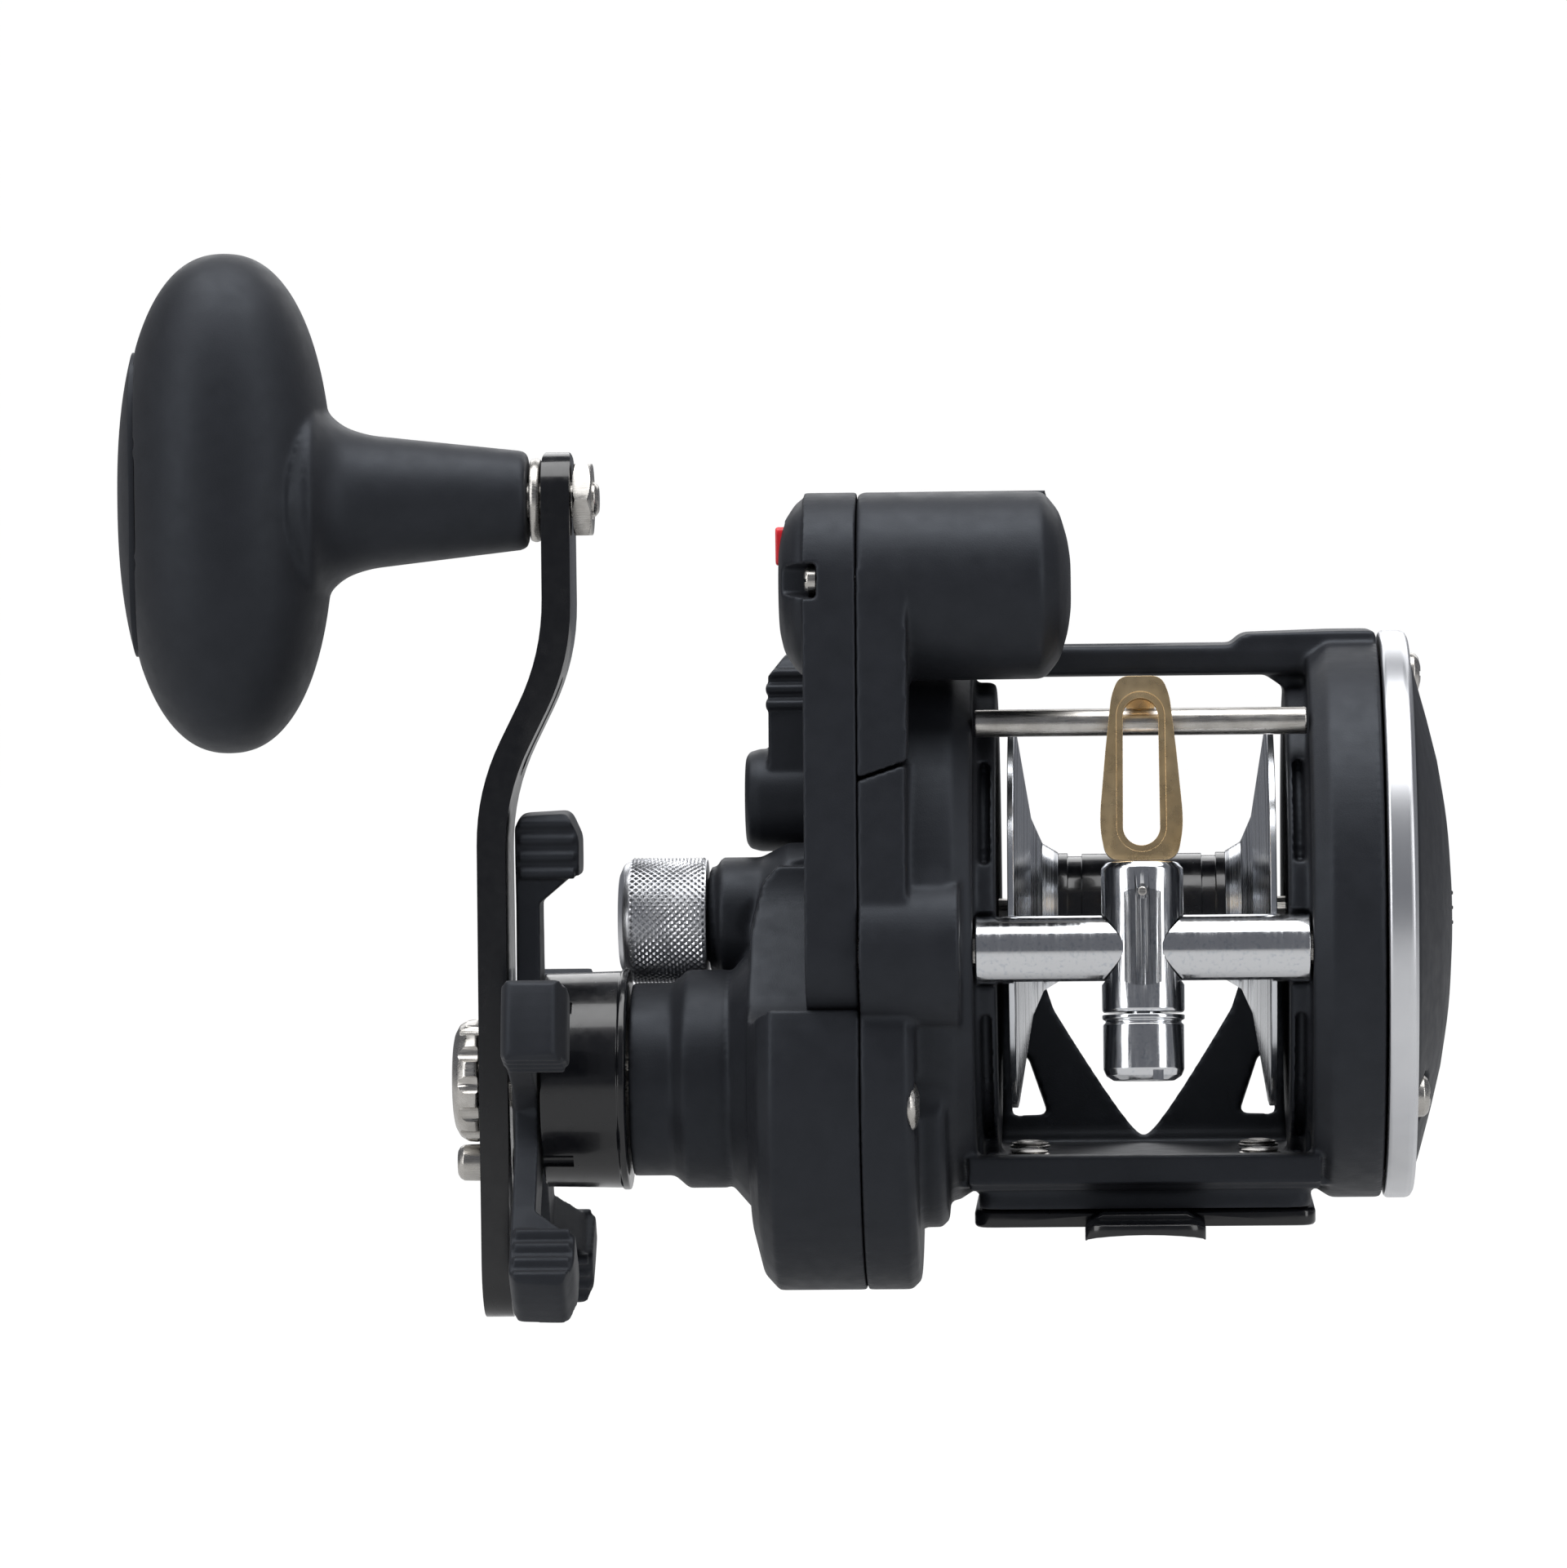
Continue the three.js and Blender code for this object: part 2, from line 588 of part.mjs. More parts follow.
function addWorm() {
  const shaftEnd = 22.8;
  const groove = (x) => rod(x, x + 1.6, 2.5, WORM_AXIS, COARSE);
  const shaft = joined(
    rod(-40.2, -20, 2.1, WORM_AXIS, COARSE),
    turned([[-20.5, 2.1], [-19, 2.1], [-19, 2.0], [19, 2.0], [19, 2.1], [shaftEnd, 2.1]], WORM_AXIS, COARSE),
    ...[-14, 0, 13].map(groove),
  );
  const countGear = gear(
    COUNTER_GEAR_TEETH, TRAIN_MODULE, direction(WORM_AXIS, COUNTER_AXIS), WORM_AXIS, -38.2, -40.2,
  );
  add('worm_shaft', joined(shaft, countGear), STEEL);
  const wormPhase = meshingPhase(idlerPhase, IDLER_TEETH, IDLER_AXIS, WORM_GEAR_TEETH, WORM_AXIS);
  const wormGear = gear(WORM_GEAR_TEETH, TRAIN_MODULE, wormPhase, WORM_AXIS, -24.9, -26.7);
  add('worm_gear', cut(wormGear, rod(-30, -20, 2.1 + GAP, WORM_AXIS, COARSE)), WHITE);
}

const spoolGearPhase = direction(SPOOL_AXIS, IDLER_AXIS);
const idlerPhase = meshingPhase(spoolGearPhase, SPOOL_GEAR_TEETH, SPOOL_AXIS, IDLER_TEETH, IDLER_AXIS);

function addLevelWindGears() {
  const idler = gear(IDLER_TEETH, TRAIN_MODULE, idlerPhase, IDLER_AXIS, -24.9, -26.7);
  add('levelwind_idler_gear', cut(idler, rod(-30, -20, 1.9, IDLER_AXIS, COARSE)), WHITE);
  const axle = rod(-27.2, -24.6, 1.6, IDLER_AXIS, COARSE);
  add('idler_axle', axle, STEEL);
}

// ---------------------------------------------------------------- spool and clutch

function addSpool() {
  const half = [
    [0, ARBOR_RADIUS], [10, ARBOR_RADIUS], [12.6, 9.2], [14.3, 12.6], [15.9, FLANGE_RADIUS],
    [SPOOL_HALF, FLANGE_RADIUS],
  ];
  const left = half.map(([x, r]) => [-x, r]).reverse();
  const body = turned([...left.slice(0, -1), ...half.slice(1)], SPOOL_AXIS, FINE);
  add('spool', cut(body, rod(-20, 20, SHAFT_BORE)), SATIN_ALUMINIUM);
  add('spool_shaft', turned([[-57.6, 1.4], [-57, SHAFT_RADIUS], [26.4, SHAFT_RADIUS], [27, 1.4]]), STEEL);
  add('spool_bearing_left', ring(-23.7, -19.4, SHAFT_BORE, 7.9), STEEL);
  add('spool_bearing_right', ring(19.4, 23.7, SHAFT_BORE, 7.9), STEEL);
  const spoolGear = gear(SPOOL_GEAR_TEETH, TRAIN_MODULE, spoolGearPhase, SPOOL_AXIS, -24.9, -26.7);
  add('levelwind_drive_gear', cut(spoolGear, rod(-30, -20, SHAFT_BORE)), BRASS);
  const clickWheel = gear(CLICK_TEETH, CLICK_MODULE, 0, SPOOL_AXIS, 24.6, 26.2);
  add('click_ratchet', cut(clickWheel, rod(20, 30, SHAFT_BORE)), BRASS);
}

const PINION_PHASE = direction(SPOOL_AXIS, MAIN_AXIS);

function addClutch() {
  const teeth = gear(PINION_TEETH, MAIN_MODULE, PINION_PHASE, SPOOL_AXIS, -30.2, -36.2);
  const neck = turned([[-30.3, 3.0], [-28.1, 3.0], [-28.1, 4.2], [-27.1, 4.2]]);
  add('pinion_gear', cut(joined(teeth, neck), rod(-40, -20, SHAFT_BORE)), BRASS);

  const away = direction(MAIN_AXIS, SPOOL_AXIS);
  const local = (u, v) => [
    u * Math.cos(away) - v * Math.sin(away),
    u * Math.sin(away) + v * Math.cos(away),
  ];
  const plate = prismX(outline([local(0, -9), local(11, -9), local(11, 9), local(0, 9)]), -28.5, -29.7);
  const notch = joined(
    prismX(outline([local(-2, -3.4), local(0, -3.4), local(0, 3.4), local(-2, 3.4)]), -27, -31),
    rod(-31, -27, 3.4),
  );
  add('clutch_yoke', cut(plate, notch), STEEL);
}

// ---------------------------------------------------------------- main drive

function addMainDrive() {
  const mainPhase = meshingPhase(PINION_PHASE, PINION_TEETH, SPOOL_AXIS, MAIN_TEETH, MAIN_AXIS);
  const wheel = gear(MAIN_TEETH, MAIN_MODULE, mainPhase, MAIN_AXIS, -31.2, -34.2);
  add('main_gear', cut(wheel, rod(-40, -20, DRIVE_RADIUS + GAP, MAIN_AXIS)), BRASS);
  add('drag_washer', ring(-35.9, -34.5, DRIVE_RADIUS + GAP, DRAG_RADIUS, MAIN_AXIS), FIBRE);
  add('drag_pressure_plate', ring(-37.6, -36.2, DRIVE_RADIUS + GAP, DRAG_RADIUS, MAIN_AXIS), STEEL);
  add('drive_shaft', turned([[-84.2, 2.9], [-83.9, DRIVE_RADIUS], [-24.2, DRIVE_RADIUS]], MAIN_AXIS), STEEL);
  add('anti_reverse_bearing', ring(-63.8, -54, DRIVE_RADIUS + GAP, 8.6, MAIN_AXIS), STEEL);
  const sleeve = turned([
    [NECK_END_X - GAP, 13.0], [NECK_END_X - GAP - 0.5, 13.7], [-75.5, 13.5],
  ], MAIN_AXIS, FINE);
  const sleeveBore = rod(-80, -60, DRIVE_RADIUS + GAP, MAIN_AXIS);
  const sleeveSlots = [0, 1, 2, 3].map((index) => {
    const angle = (index + 0.5) * Math.PI / 2;
    const place = { y: MAIN_AXIS.y + 13.4 * Math.cos(angle), z: MAIN_AXIS.z + 13.4 * Math.sin(angle) };
    return rod(-76, -71.6, 1.1, place, 6);
  });
  add('drag_sleeve', cut(sleeve, sleeveBore, ...sleeveSlots), BLACK_GLOSS);
}

function armPoint(angle, radius, aside) {
  return [
    MAIN_AXIS.y + radius * Math.cos(angle) - aside * Math.sin(angle),
    MAIN_AXIS.z + radius * Math.sin(angle) + aside * Math.cos(angle),
  ];
}

function starArm(angle) {
  const at = (radius, aside) => armPoint(angle, radius, aside);
  const stem = prismX(outline([
    at(8, -5.6), at(16, -3.8), at(26, -3.6), at(26, 3.6), at(16, 3.8), at(8, 5.6),
  ]), -78.9, -75.9, 0.5);
  const paddle = prismX(outline([
    at(22.6, -3.4), at(24.8, -4.7), at(STAR_RADIUS - 1.2, -5.0), at(STAR_RADIUS, -3.8),
    at(STAR_RADIUS, 3.8), at(STAR_RADIUS - 1.2, 5.0), at(24.8, 4.7), at(22.6, 3.4),
  ]), -78.9, -70.8, 0.8);
  return joined(stem, paddle);
}

function addStarDrag() {
  const hub = turned([[-79.3, 9.4], [-78.9, 10.6], [-75.9, 11.2]], MAIN_AXIS);
  const arms = STAR_ARM_ANGLES.map(starArm);
  const bore = rod(-90, -60, DRIVE_RADIUS + GAP, MAIN_AXIS);
  add('star_drag', cut(joined(hub, ...arms), bore), BLACK_BODY);
}

function addHandle() {
  const outer = HANDLE_OUTER_X;
  const inner = HANDLE_OUTER_X + HANDLE_THICKNESS;
  const z = MAIN_AXIS.z;
  const bend = [37, 54];
  const side = outline([
    [outer, z - HANDLE_TAIL - 1], [inner, z - HANDLE_TAIL - 1], [inner, z + bend[0] - 0.8],
    [inner + HANDLE_OFFSET, z + bend[1] - 0.8], [inner + HANDLE_OFFSET, z + 80],
    [outer + HANDLE_OFFSET, z + 80],
    [outer + HANDLE_OFFSET, z + bend[1]], [outer, z + bend[0]],
  ]);
  const bar = prismY(side, MAIN_AXIS.y - 10, MAIN_AXIS.y + 10);
  const front = beltOutline([
    { y: MAIN_AXIS.y, z: z - HANDLE_TAIL + 8, r: 8 },
    { y: MAIN_AXIS.y, z, r: 8.2 },
    { y: MAIN_AXIS.y, z: z + HANDLE_REACH, r: 6 },
  ]);
  const holes = [
    rod(-90, -78, DRIVE_RADIUS + GAP, MAIN_AXIS),
    rod(-80, -60, 2.2 + GAP, knobAxis(), COARSE),
    rod(-90, -78, 1.5 + GAP, lockAxis(), COARSE),
  ];
  add('handle_arm', cut(bar.intersect(prismX(front, -90, -60)), ...holes), BLACK_GLOSS);

  const scallops = [];
  for (let index = 0; index < 12; index += 1) {
    const angle = index * Math.PI / 6;
    const place = { y: MAIN_AXIS.y + 8.5 * Math.cos(angle), z: z + 8.5 * Math.sin(angle) };
    scallops.push(rod(-90, -80, 1.5, place, 6));
  }
  const nut = turned([[-87.2, 5.2], [-86.4, 7.2], [-85.2, 7.8], [outer - GAP, 7.8]], MAIN_AXIS, 24);
  const socket = rod(-85.6, -80, DRIVE_RADIUS + GAP, MAIN_AXIS);
  add('handle_nut', cut(nut, socket, ...scallops), STEEL);
  const screw = turned([
    [-86.9, 1.6], [-86.5, 2.2], [outer - GAP, 2.35], [outer - GAP, 1.5], [inner - 0.4, 1.5],
  ], lockAxis(), COARSE);
  add('handle_lock_screw', screw, STEEL);
}

function lockAxis() {
  return { y: MAIN_AXIS.y, z: MAIN_AXIS.z - 10.4 };
}

function knobAxis() {
  return { y: MAIN_AXIS.y, z: MAIN_AXIS.z + HANDLE_REACH };
}

// ---------------------------------------------------------------- knob

const KNOB_ROUNDNESS = 2.3;

function eggGeometry(halfX, halfY, halfZ, around, along) {
  const geometry = new THREE.SphereGeometry(1, around, along);
  geometry.rotateX(Math.PI / 2);
  const points = geometry.attributes.position;
  for (let i = 0; i < points.count; i += 1) {
    const [x, y, z] = [points.getX(i), points.getY(i), points.getZ(i)];
    const across = Math.hypot(x, y);
    const power = (across ** KNOB_ROUNDNESS + Math.abs(z) ** KNOB_ROUNDNESS) ** (1 / KNOB_ROUNDNESS);
    points.setXYZ(i, x / power * halfX, y / power * halfY, z / power * halfZ);
  }
  return geometry;
}

function knobEgg(grow, around, along) {
  const axis = knobAxis();
  const egg = eggGeometry(KNOB_HALF_X + grow, KNOB_HALF_Y + grow, KNOB_HALF_Z + grow, around, along);
  return toSolid(egg.translate(KNOB_X, axis.y, axis.z));
}

function capPrism(halfY, halfZ, x0, x1) {
  const axis = knobAxis();
  const oval = [];
  for (let i = 0; i < MEDIUM; i += 1) {
    const angle = (i / MEDIUM) * 2 * Math.PI;
    oval.push([axis.y + halfY * Math.cos(angle), axis.z + halfZ * Math.sin(angle)]);
  }
  return prismX(outline(oval), x0, x1);
}

function addKnob() {
  const axis = knobAxis();
  const stem = turned([
    [KNOB_X, 8], [-103.5, 13.2], [-101.4, 10.6], [-99.2, 9.1], [-96.4, 8.4], [-77.5, 6.2], [KNOB_STEM_X, 5.6],
  ], axis);
  const recess = capPrism(9.6, 19.6, KNOB_X - 20, KNOB_X - 10.4);
  const bore = rod(-121, -70, 2.2 + GAP, axis, COARSE);
  add('knob', cut(joined(knobEgg(0, 20, 12), stem), recess, bore), SOFT_BLACK);
  const cap = knobEgg(0.35, 20, 12).intersect(capPrism(9.3, 19.3, KNOB_X - 20, KNOB_X - 10.4 - GAP));
  add('knob_cap', cap, SOFT_BLACK);
  const axle = turned([
    [-120.4, 2.2], [-75.3 - GAP, 2.2], [-70.7, 2.2], [-68.5, 2.2], [-68, 1.6],
  ], axis, COARSE);
  add('knob_axle', axle, STEEL);
  add('knob_washer', ring(-76.6, -75.3, 2.2 + GAP, 5.3, axis), STEEL);
  const nutX = HANDLE_OUTER_X + HANDLE_OFFSET + HANDLE_THICKNESS + GAP;
  const nut = turned([[nutX, 4.6], [nutX + 0.3, 5.2], [nutX + 1.9, 5.2], [nutX + 2.3, 4.6]], axis, 6);
  add('knob_nut', cut(nut, rod(-72, -66, 2.2 + GAP, axis, COARSE)), STEEL);
}

// ---------------------------------------------------------------- handle-side covers

function addGearCover() {
  const face = SEAM_X - GAP;
  const plate = joined(
    turned([[COVER_PLATE_X, FRAME_RADIUS - 2.5], [COVER_PLATE_X + 2.5, FRAME_RADIUS], [face, FRAME_RADIUS]],
      SPOOL_AXIS, FINE),
    rod(-44, face, GEARBOX_RADIUS, MAIN_AXIS, FINE),
  );
  const gearbox = turned([
    [GEARBOX_X, GEARBOX_RADIUS - 7.5], [GEARBOX_X + 1.4, GEARBOX_RADIUS - 1.9],
    [GEARBOX_X + 3.2, GEARBOX_RADIUS],
    [-43, GEARBOX_RADIUS],
  ], MAIN_AXIS, FINE);
  const boss = turned([[-53.9, 7.4], [-53.5, 8.0], [-48.5, 8.0], [-45, 9.8], [-40, 9.8]]);
  const stub = turned([[-60, 4.4], [-59.4, 5], [-55.1, 5], [-55.1, 6.8], [-53.5, 6.8]]);
  const neck = turned([
    [NECK_END_X, NECK_RADIUS], [-59.3, NECK_RADIUS], [-57.5, NECK_RING_RADIUS],
    [-52.5, NECK_RING_RADIUS], [-52.3, 13.2], [GEARBOX_X - 0.2, 16.4], [-47, 16.4],
  ], MAIN_AXIS, FINE);
  const trainClearance = prismX(trainCoverOutline(GAP), -60, -30);
  const hollow = cut(
    joined(
      rod(-39.4, -34, 33, SPOOL_AXIS, FINE),
      rod(-46.4, -34, GEARBOX_RADIUS - 2.8, MAIN_AXIS, FINE),
      rod(-51.5, -34, 5.8),
    ),
    prismX(trainCoverOutline(2.3), -60, -30),
  );
  const bores = [
    rod(-70, -30, SHAFT_BORE + 0.2),
    rod(-70, -30, 8.9, MAIN_AXIS),
  ];
  const shell = joined(plate, gearbox, boss, stub, neck);
  add('gear_cover', cut(shell, trainClearance, hollow, ...bores), BLACK_BODY);
}

function addTensionKnob() {
  const body = turned([
    [-66.7, 5.4], [-66.2, 7.2], [-65.0, 8.05], [-55.4, 8.05],
  ], SPOOL_AXIS, 24);
  add('tension_knob', cut(body, rod(-60.6, -50, 5.3)), SATIN_ALUMINIUM);
}

function addFreespoolLever() {
  const axis = LEVER_AXIS;
  const hub = turned([[-50.7, 5.0], [-49.9, 6.2], [-48.8, 6.5], [COVER_PLATE_X - 0.4, 6.5]], axis);
  const arm = prismX(outline([
    [axis.y - 5.4, axis.z], [axis.y - 4.2, axis.z + 13], [axis.y - 3.2, axis.z + 17.6],
    [axis.y - 1.6, axis.z + 19], [axis.y + 2.8, axis.z + 18],
    [axis.y + 4.4, axis.z + 12], [axis.y + 5.4, axis.z],
  ]), -47.6, COVER_PLATE_X - 0.4, 0.6);
  add('freespool_lever', joined(hub, arm), BLACK_BODY);
}

// ---------------------------------------------------------------- line counter

const HOUSING_BORE = 10.3;

function windowSolid(radius0, radius1, halfWidth, x0, x1) {
  const angle = THREE.MathUtils.degToRad(52);
  const across = (u, v) => [
    COUNTER_AXIS.y + u * Math.cos(angle) - v * Math.sin(angle),
    COUNTER_AXIS.z + u * Math.sin(angle) + v * Math.cos(angle),
  ];
  return prismX(outline([
    across(radius0, -halfWidth), across(radius1, -halfWidth),
    across(radius1, halfWidth), across(radius0, halfWidth),
  ]), x0, x1);
}

function addCounterHousing() {
  const barrel = turned([
    [SEAM_X, COUNTER_RADIUS], [COUNTER_END_X - 3.2, COUNTER_RADIUS],
    [COUNTER_END_X - 1.2, COUNTER_RADIUS - 2.6],
    [COUNTER_END_X - 0.3, COUNTER_RADIUS - 6], [COUNTER_END_X, 3],
  ], COUNTER_AXIS, FINE);
  const leg = cut(
    prismX(trainCoverOutline(0), SEAM_X, -28.8).intersect(boxBetween([-40, -60, 19.2], [-20, 30, 45])),
    rod(-50, 0, FRAME_RADIUS + GAP, SPOOL_AXIS, FINE),
  );
  const hollow = rod(SEAM_X - 1, COUNTER_END_X - 2.6, HOUSING_BORE, COUNTER_AXIS);
  const opening = windowSolid(8, 16, 4, -29.8, -12.4);
  add('counter_housing', cut(joined(barrel, leg), hollow, opening), BLACK_BODY);
  add('counter_window', windowSolid(HOUSING_BORE - 0.2, 11.2, 4 - GAP, -29.5, -12.7), CLEAR);
}

function addNumberWheels() {
  const wheelRadius = 8.6;
  const countPhase = meshingPhase(
    upperIdlerPhase, COUNTER_IDLER_TEETH, UPPER_IDLER_AXIS, COUNTER_GEAR_TEETH, COUNTER_AXIS,
  );
  const shaft = joined(
    rod(-40.3, -12, 1.4, COUNTER_AXIS, COARSE),
    gear(COUNTER_GEAR_TEETH, TRAIN_MODULE, countPhase, COUNTER_AXIS, -38.2, -40.2),
  );
  add('counter_shaft', shaft, STEEL);
  ['hundreds_wheel', 'tens_wheel', 'units_wheel'].forEach((name, index) => {
    const x1 = -12.9 - index * 5.6;
    add(name, ring(x1 - 5.2, x1, 1.4 + GAP, wheelRadius, COUNTER_AXIS), WHITE);
  });
}

const lowerIdlerPhase = meshingPhase(
  direction(WORM_AXIS, COUNTER_AXIS), COUNTER_GEAR_TEETH, WORM_AXIS, COUNTER_IDLER_TEETH, LOWER_IDLER_AXIS,
);
const upperIdlerPhase = meshingPhase(
  lowerIdlerPhase, COUNTER_IDLER_TEETH, LOWER_IDLER_AXIS, COUNTER_IDLER_TEETH, UPPER_IDLER_AXIS,
);

function addCounterTrain() {
  const idler = (phase, axis) => gear(COUNTER_IDLER_TEETH, TRAIN_MODULE, phase, axis, -38.2, -40.2);
  add('counter_idler_lower', cut(idler(lowerIdlerPhase, LOWER_IDLER_AXIS),
    rod(-50, -30, 1.8, LOWER_IDLER_AXIS, COARSE)), WHITE);
  add('counter_idler_upper', cut(idler(upperIdlerPhase, UPPER_IDLER_AXIS),
    rod(-50, -30, 1.8, UPPER_IDLER_AXIS, COARSE)), WHITE);
}

const BUTTON_AXIS = { y: COUNTER_AXIS.y, z: COUNTER_AXIS.z + 5.2 };
const COUNTER_SCREW_AXIS = { y: COUNTER_AXIS.y - 9.6, z: COUNTER_AXIS.z + 1 };

function addCounterDriveCover() {
  const face = SEAM_X - GAP;
  const strip = prismX(trainCoverOutline(0), face, -41.6);
  const dome = turned([
    [-44.8, 5.6], [-44.2, 8.2], [-42.6, 10.6], [-40.6, COUNTER_RADIUS], [face, COUNTER_RADIUS],
  ], COUNTER_AXIS, FINE);
  const hollow = joined(
    prismX(trainCoverOutline(-1.4), -34, -40.6),
    rod(-43, -34, 7.3, COUNTER_AXIS),
  );
  const posts = [LOWER_IDLER_AXIS, UPPER_IDLER_AXIS].map((axis) => rod(-41.2, -37.6, 1.5, axis, COARSE));
  const buttonHole = boxBetween(
    [-50, BUTTON_AXIS.y - 2.9, BUTTON_AXIS.z - 2.7], [-40, BUTTON_AXIS.y + 2.9, BUTTON_AXIS.z + 2.7],
  );
  const screwRecess = rod(-50, -39.6, 1.9, COUNTER_SCREW_AXIS, COARSE);
  const body = joined(cut(joined(strip, dome), hollow), ...posts);
  add('counter_drive_cover', cut(body, buttonHole, screwRecess), BLACK_BODY);
  const button = boxBetween(
    [-45.2, BUTTON_AXIS.y - 2.6, BUTTON_AXIS.z - 2.4], [-41.6, BUTTON_AXIS.y + 2.6, BUTTON_AXIS.z + 2.4],
  );
  add('reset_button', button, RED);
}

// ---------------------------------------------------------------- palm side

const PALM_SCREW_RADIUS = 30.6;
const PALM_SCREW_ANGLES = [90, 225, 315].map(THREE.MathUtils.degToRad);

function palmScrewAxis(angle) {
  return { y: PALM_SCREW_RADIUS * Math.cos(angle), z: PALM_SCREW_RADIUS * Math.sin(angle) };
}

function addPalmSide() {
  const ringStart = RIGHT_RING_END + GAP;
  const trim = turned([
    [ringStart, FRAME_RADIUS - 0.2], [ringStart + 0.4, FRAME_RADIUS + 0.1], [33.2, FRAME_RADIUS + 0.1],
    [34, FRAME_RADIUS - 0.6], [34, 34.5],
  ], SPOOL_AXIS, FINE);
  add('palm_trim_ring', cut(trim, rod(20, 40, 33.6, SPOOL_AXIS, FINE)), SATIN_ALUMINIUM);

  const dome = turned([
    [ringStart, 33.3], [34.1, 33.3], [34.9, 30.2], [36.3, 25.1], [37.6, 19.8], [38.8, 12.6], [39.3, 5],
  ], SPOOL_AXIS, FINE);
  const hollow = turned([[ringStart - 1, 30.8], [33.0, 30.8], [35.9, 19], [37.0, 6]]);
  const pockets = PALM_SCREW_ANGLES.map((angle) => rod(33.6, 42, 3.1, palmScrewAxis(angle), COARSE));
  const bosses = PALM_SCREW_ANGLES.map((angle) => rod(ringStart + 0.2, 34, 3.8, palmScrewAxis(angle), COARSE)
    .intersect(rod(20, 50, 32.6, SPOOL_AXIS, FINE)));
  const holes = PALM_SCREW_ANGLES.map((angle) => rod(20, 40, 1.4, palmScrewAxis(angle), COARSE));
  const clickSlot = boxBetween([30, 13.4, -6.4], [50, 20.6, 6.4]);
  add('palm_cap', cut(joined(cut(dome, hollow), ...bosses), ...pockets, ...holes, clickSlot), BLACK_BODY);
  PALM_SCREW_ANGLES.forEach((angle, index) => {
    const screw = turned([
      [31, 1.0], [33.9, 1.0], [33.9, 2.7], [35.1, 2.5], [35.7, 1.4],
    ], palmScrewAxis(angle), COARSE);
    add(`palm_screw_${index + 1}`, screw, STEEL);
  });
  const slider = joined(
    boxBetween([33.6, 13.8, -3], [40.2, 20.2, 3]),
    boxBetween([33.6, 13.8, -3], [36.4, 20.2, 3]),
  );
  add('clicker_button', slider, BLACK_GLOSS);
}

function addCoverScrews() {
  add('cover_screw', turned([
    [-30.2, 1.3], [-29.6, 1.3], [-29.6, 3.2], [-28.4, 3.2], [-27.8, 2.2],
  ], COVER_SCREW_AXIS, 12), STEEL);
  add('counter_screw', turned([[-41.4, 1.2], [-41, 1.6], [-39.9, 1.6]], COUNTER_SCREW_AXIS, 12), STEEL);
}

// ---------------------------------------------------------------- assembly

addFrame();
addFoot();
addLevelWindRods();
addCarriage();
addLineGuide();
addWorm();
addLevelWindGears();
addSpool();
addClutch();
addMainDrive();
addStarDrag();
addHandle();
addKnob();
addGearCover();
addTensionKnob();
addFreespoolLever();
addCounterHousing();
addCounterTrain();
addNumberWheels();
addCounterDriveCover();
addPalmSide();
addCoverScrews();

export default reel;
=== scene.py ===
import json
import math
import bmesh
import bpy
from mathutils import Matrix, Vector


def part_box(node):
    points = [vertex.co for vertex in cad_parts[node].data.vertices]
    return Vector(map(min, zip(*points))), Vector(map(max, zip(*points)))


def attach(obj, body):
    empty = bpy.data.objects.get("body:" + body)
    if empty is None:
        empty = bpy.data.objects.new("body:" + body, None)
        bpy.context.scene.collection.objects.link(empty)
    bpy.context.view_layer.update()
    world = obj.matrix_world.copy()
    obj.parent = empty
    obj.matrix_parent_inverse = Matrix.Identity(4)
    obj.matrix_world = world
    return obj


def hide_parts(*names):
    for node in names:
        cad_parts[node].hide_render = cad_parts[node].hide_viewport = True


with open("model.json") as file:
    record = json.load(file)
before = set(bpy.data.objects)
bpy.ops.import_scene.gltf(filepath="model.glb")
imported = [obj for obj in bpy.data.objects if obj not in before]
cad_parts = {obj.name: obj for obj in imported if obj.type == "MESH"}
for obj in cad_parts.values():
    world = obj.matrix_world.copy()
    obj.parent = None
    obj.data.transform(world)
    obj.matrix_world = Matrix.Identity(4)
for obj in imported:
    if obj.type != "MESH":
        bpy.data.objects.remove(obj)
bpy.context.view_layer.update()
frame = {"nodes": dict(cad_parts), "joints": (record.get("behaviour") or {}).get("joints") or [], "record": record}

# Pieces are built in millimetres, with the spool's axis at y = 0 and z = 0.
# place() then scales them to metres and lifts them to the row frame.
MM = 0.001
FINE = 128
MEDIUM = 64
COARSE = 32
VOXEL = 0.4
SMALL_VOXEL = 0.25

NODE_BODY = {node: body for body, nodes in frame["record"]["behaviour"]["bodies"].items() for node in nodes}
NODE_SLOT = {part["node"]: part["material_slot"] for part in frame["record"]["subparts"]}


# ---------------------------------------------------------------- places, from the CAD frame

def centre(node):
    return (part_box(node)[0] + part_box(node)[1]) / 2 / MM


SPOOL_Z = centre("spool").z


def low(node):
    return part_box(node)[0] / MM - Vector((0, 0, SPOOL_Z))


def high(node):
    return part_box(node)[1] / MM - Vector((0, 0, SPOOL_Z))


def axis_of(node):
    """The (y, z) of an axis along X."""
    middle = (low(node) + high(node)) / 2
    return middle.y, middle.z


def joint_axis(name):
    place_m = next(joint["pos_m"] for joint in frame["joints"] if joint["name"] == name)
    return place_m[1] / MM, place_m[2] / MM - SPOOL_Z


def shifted(axis, along_y, along_z):
    return axis[0] + along_y, axis[1] + along_z


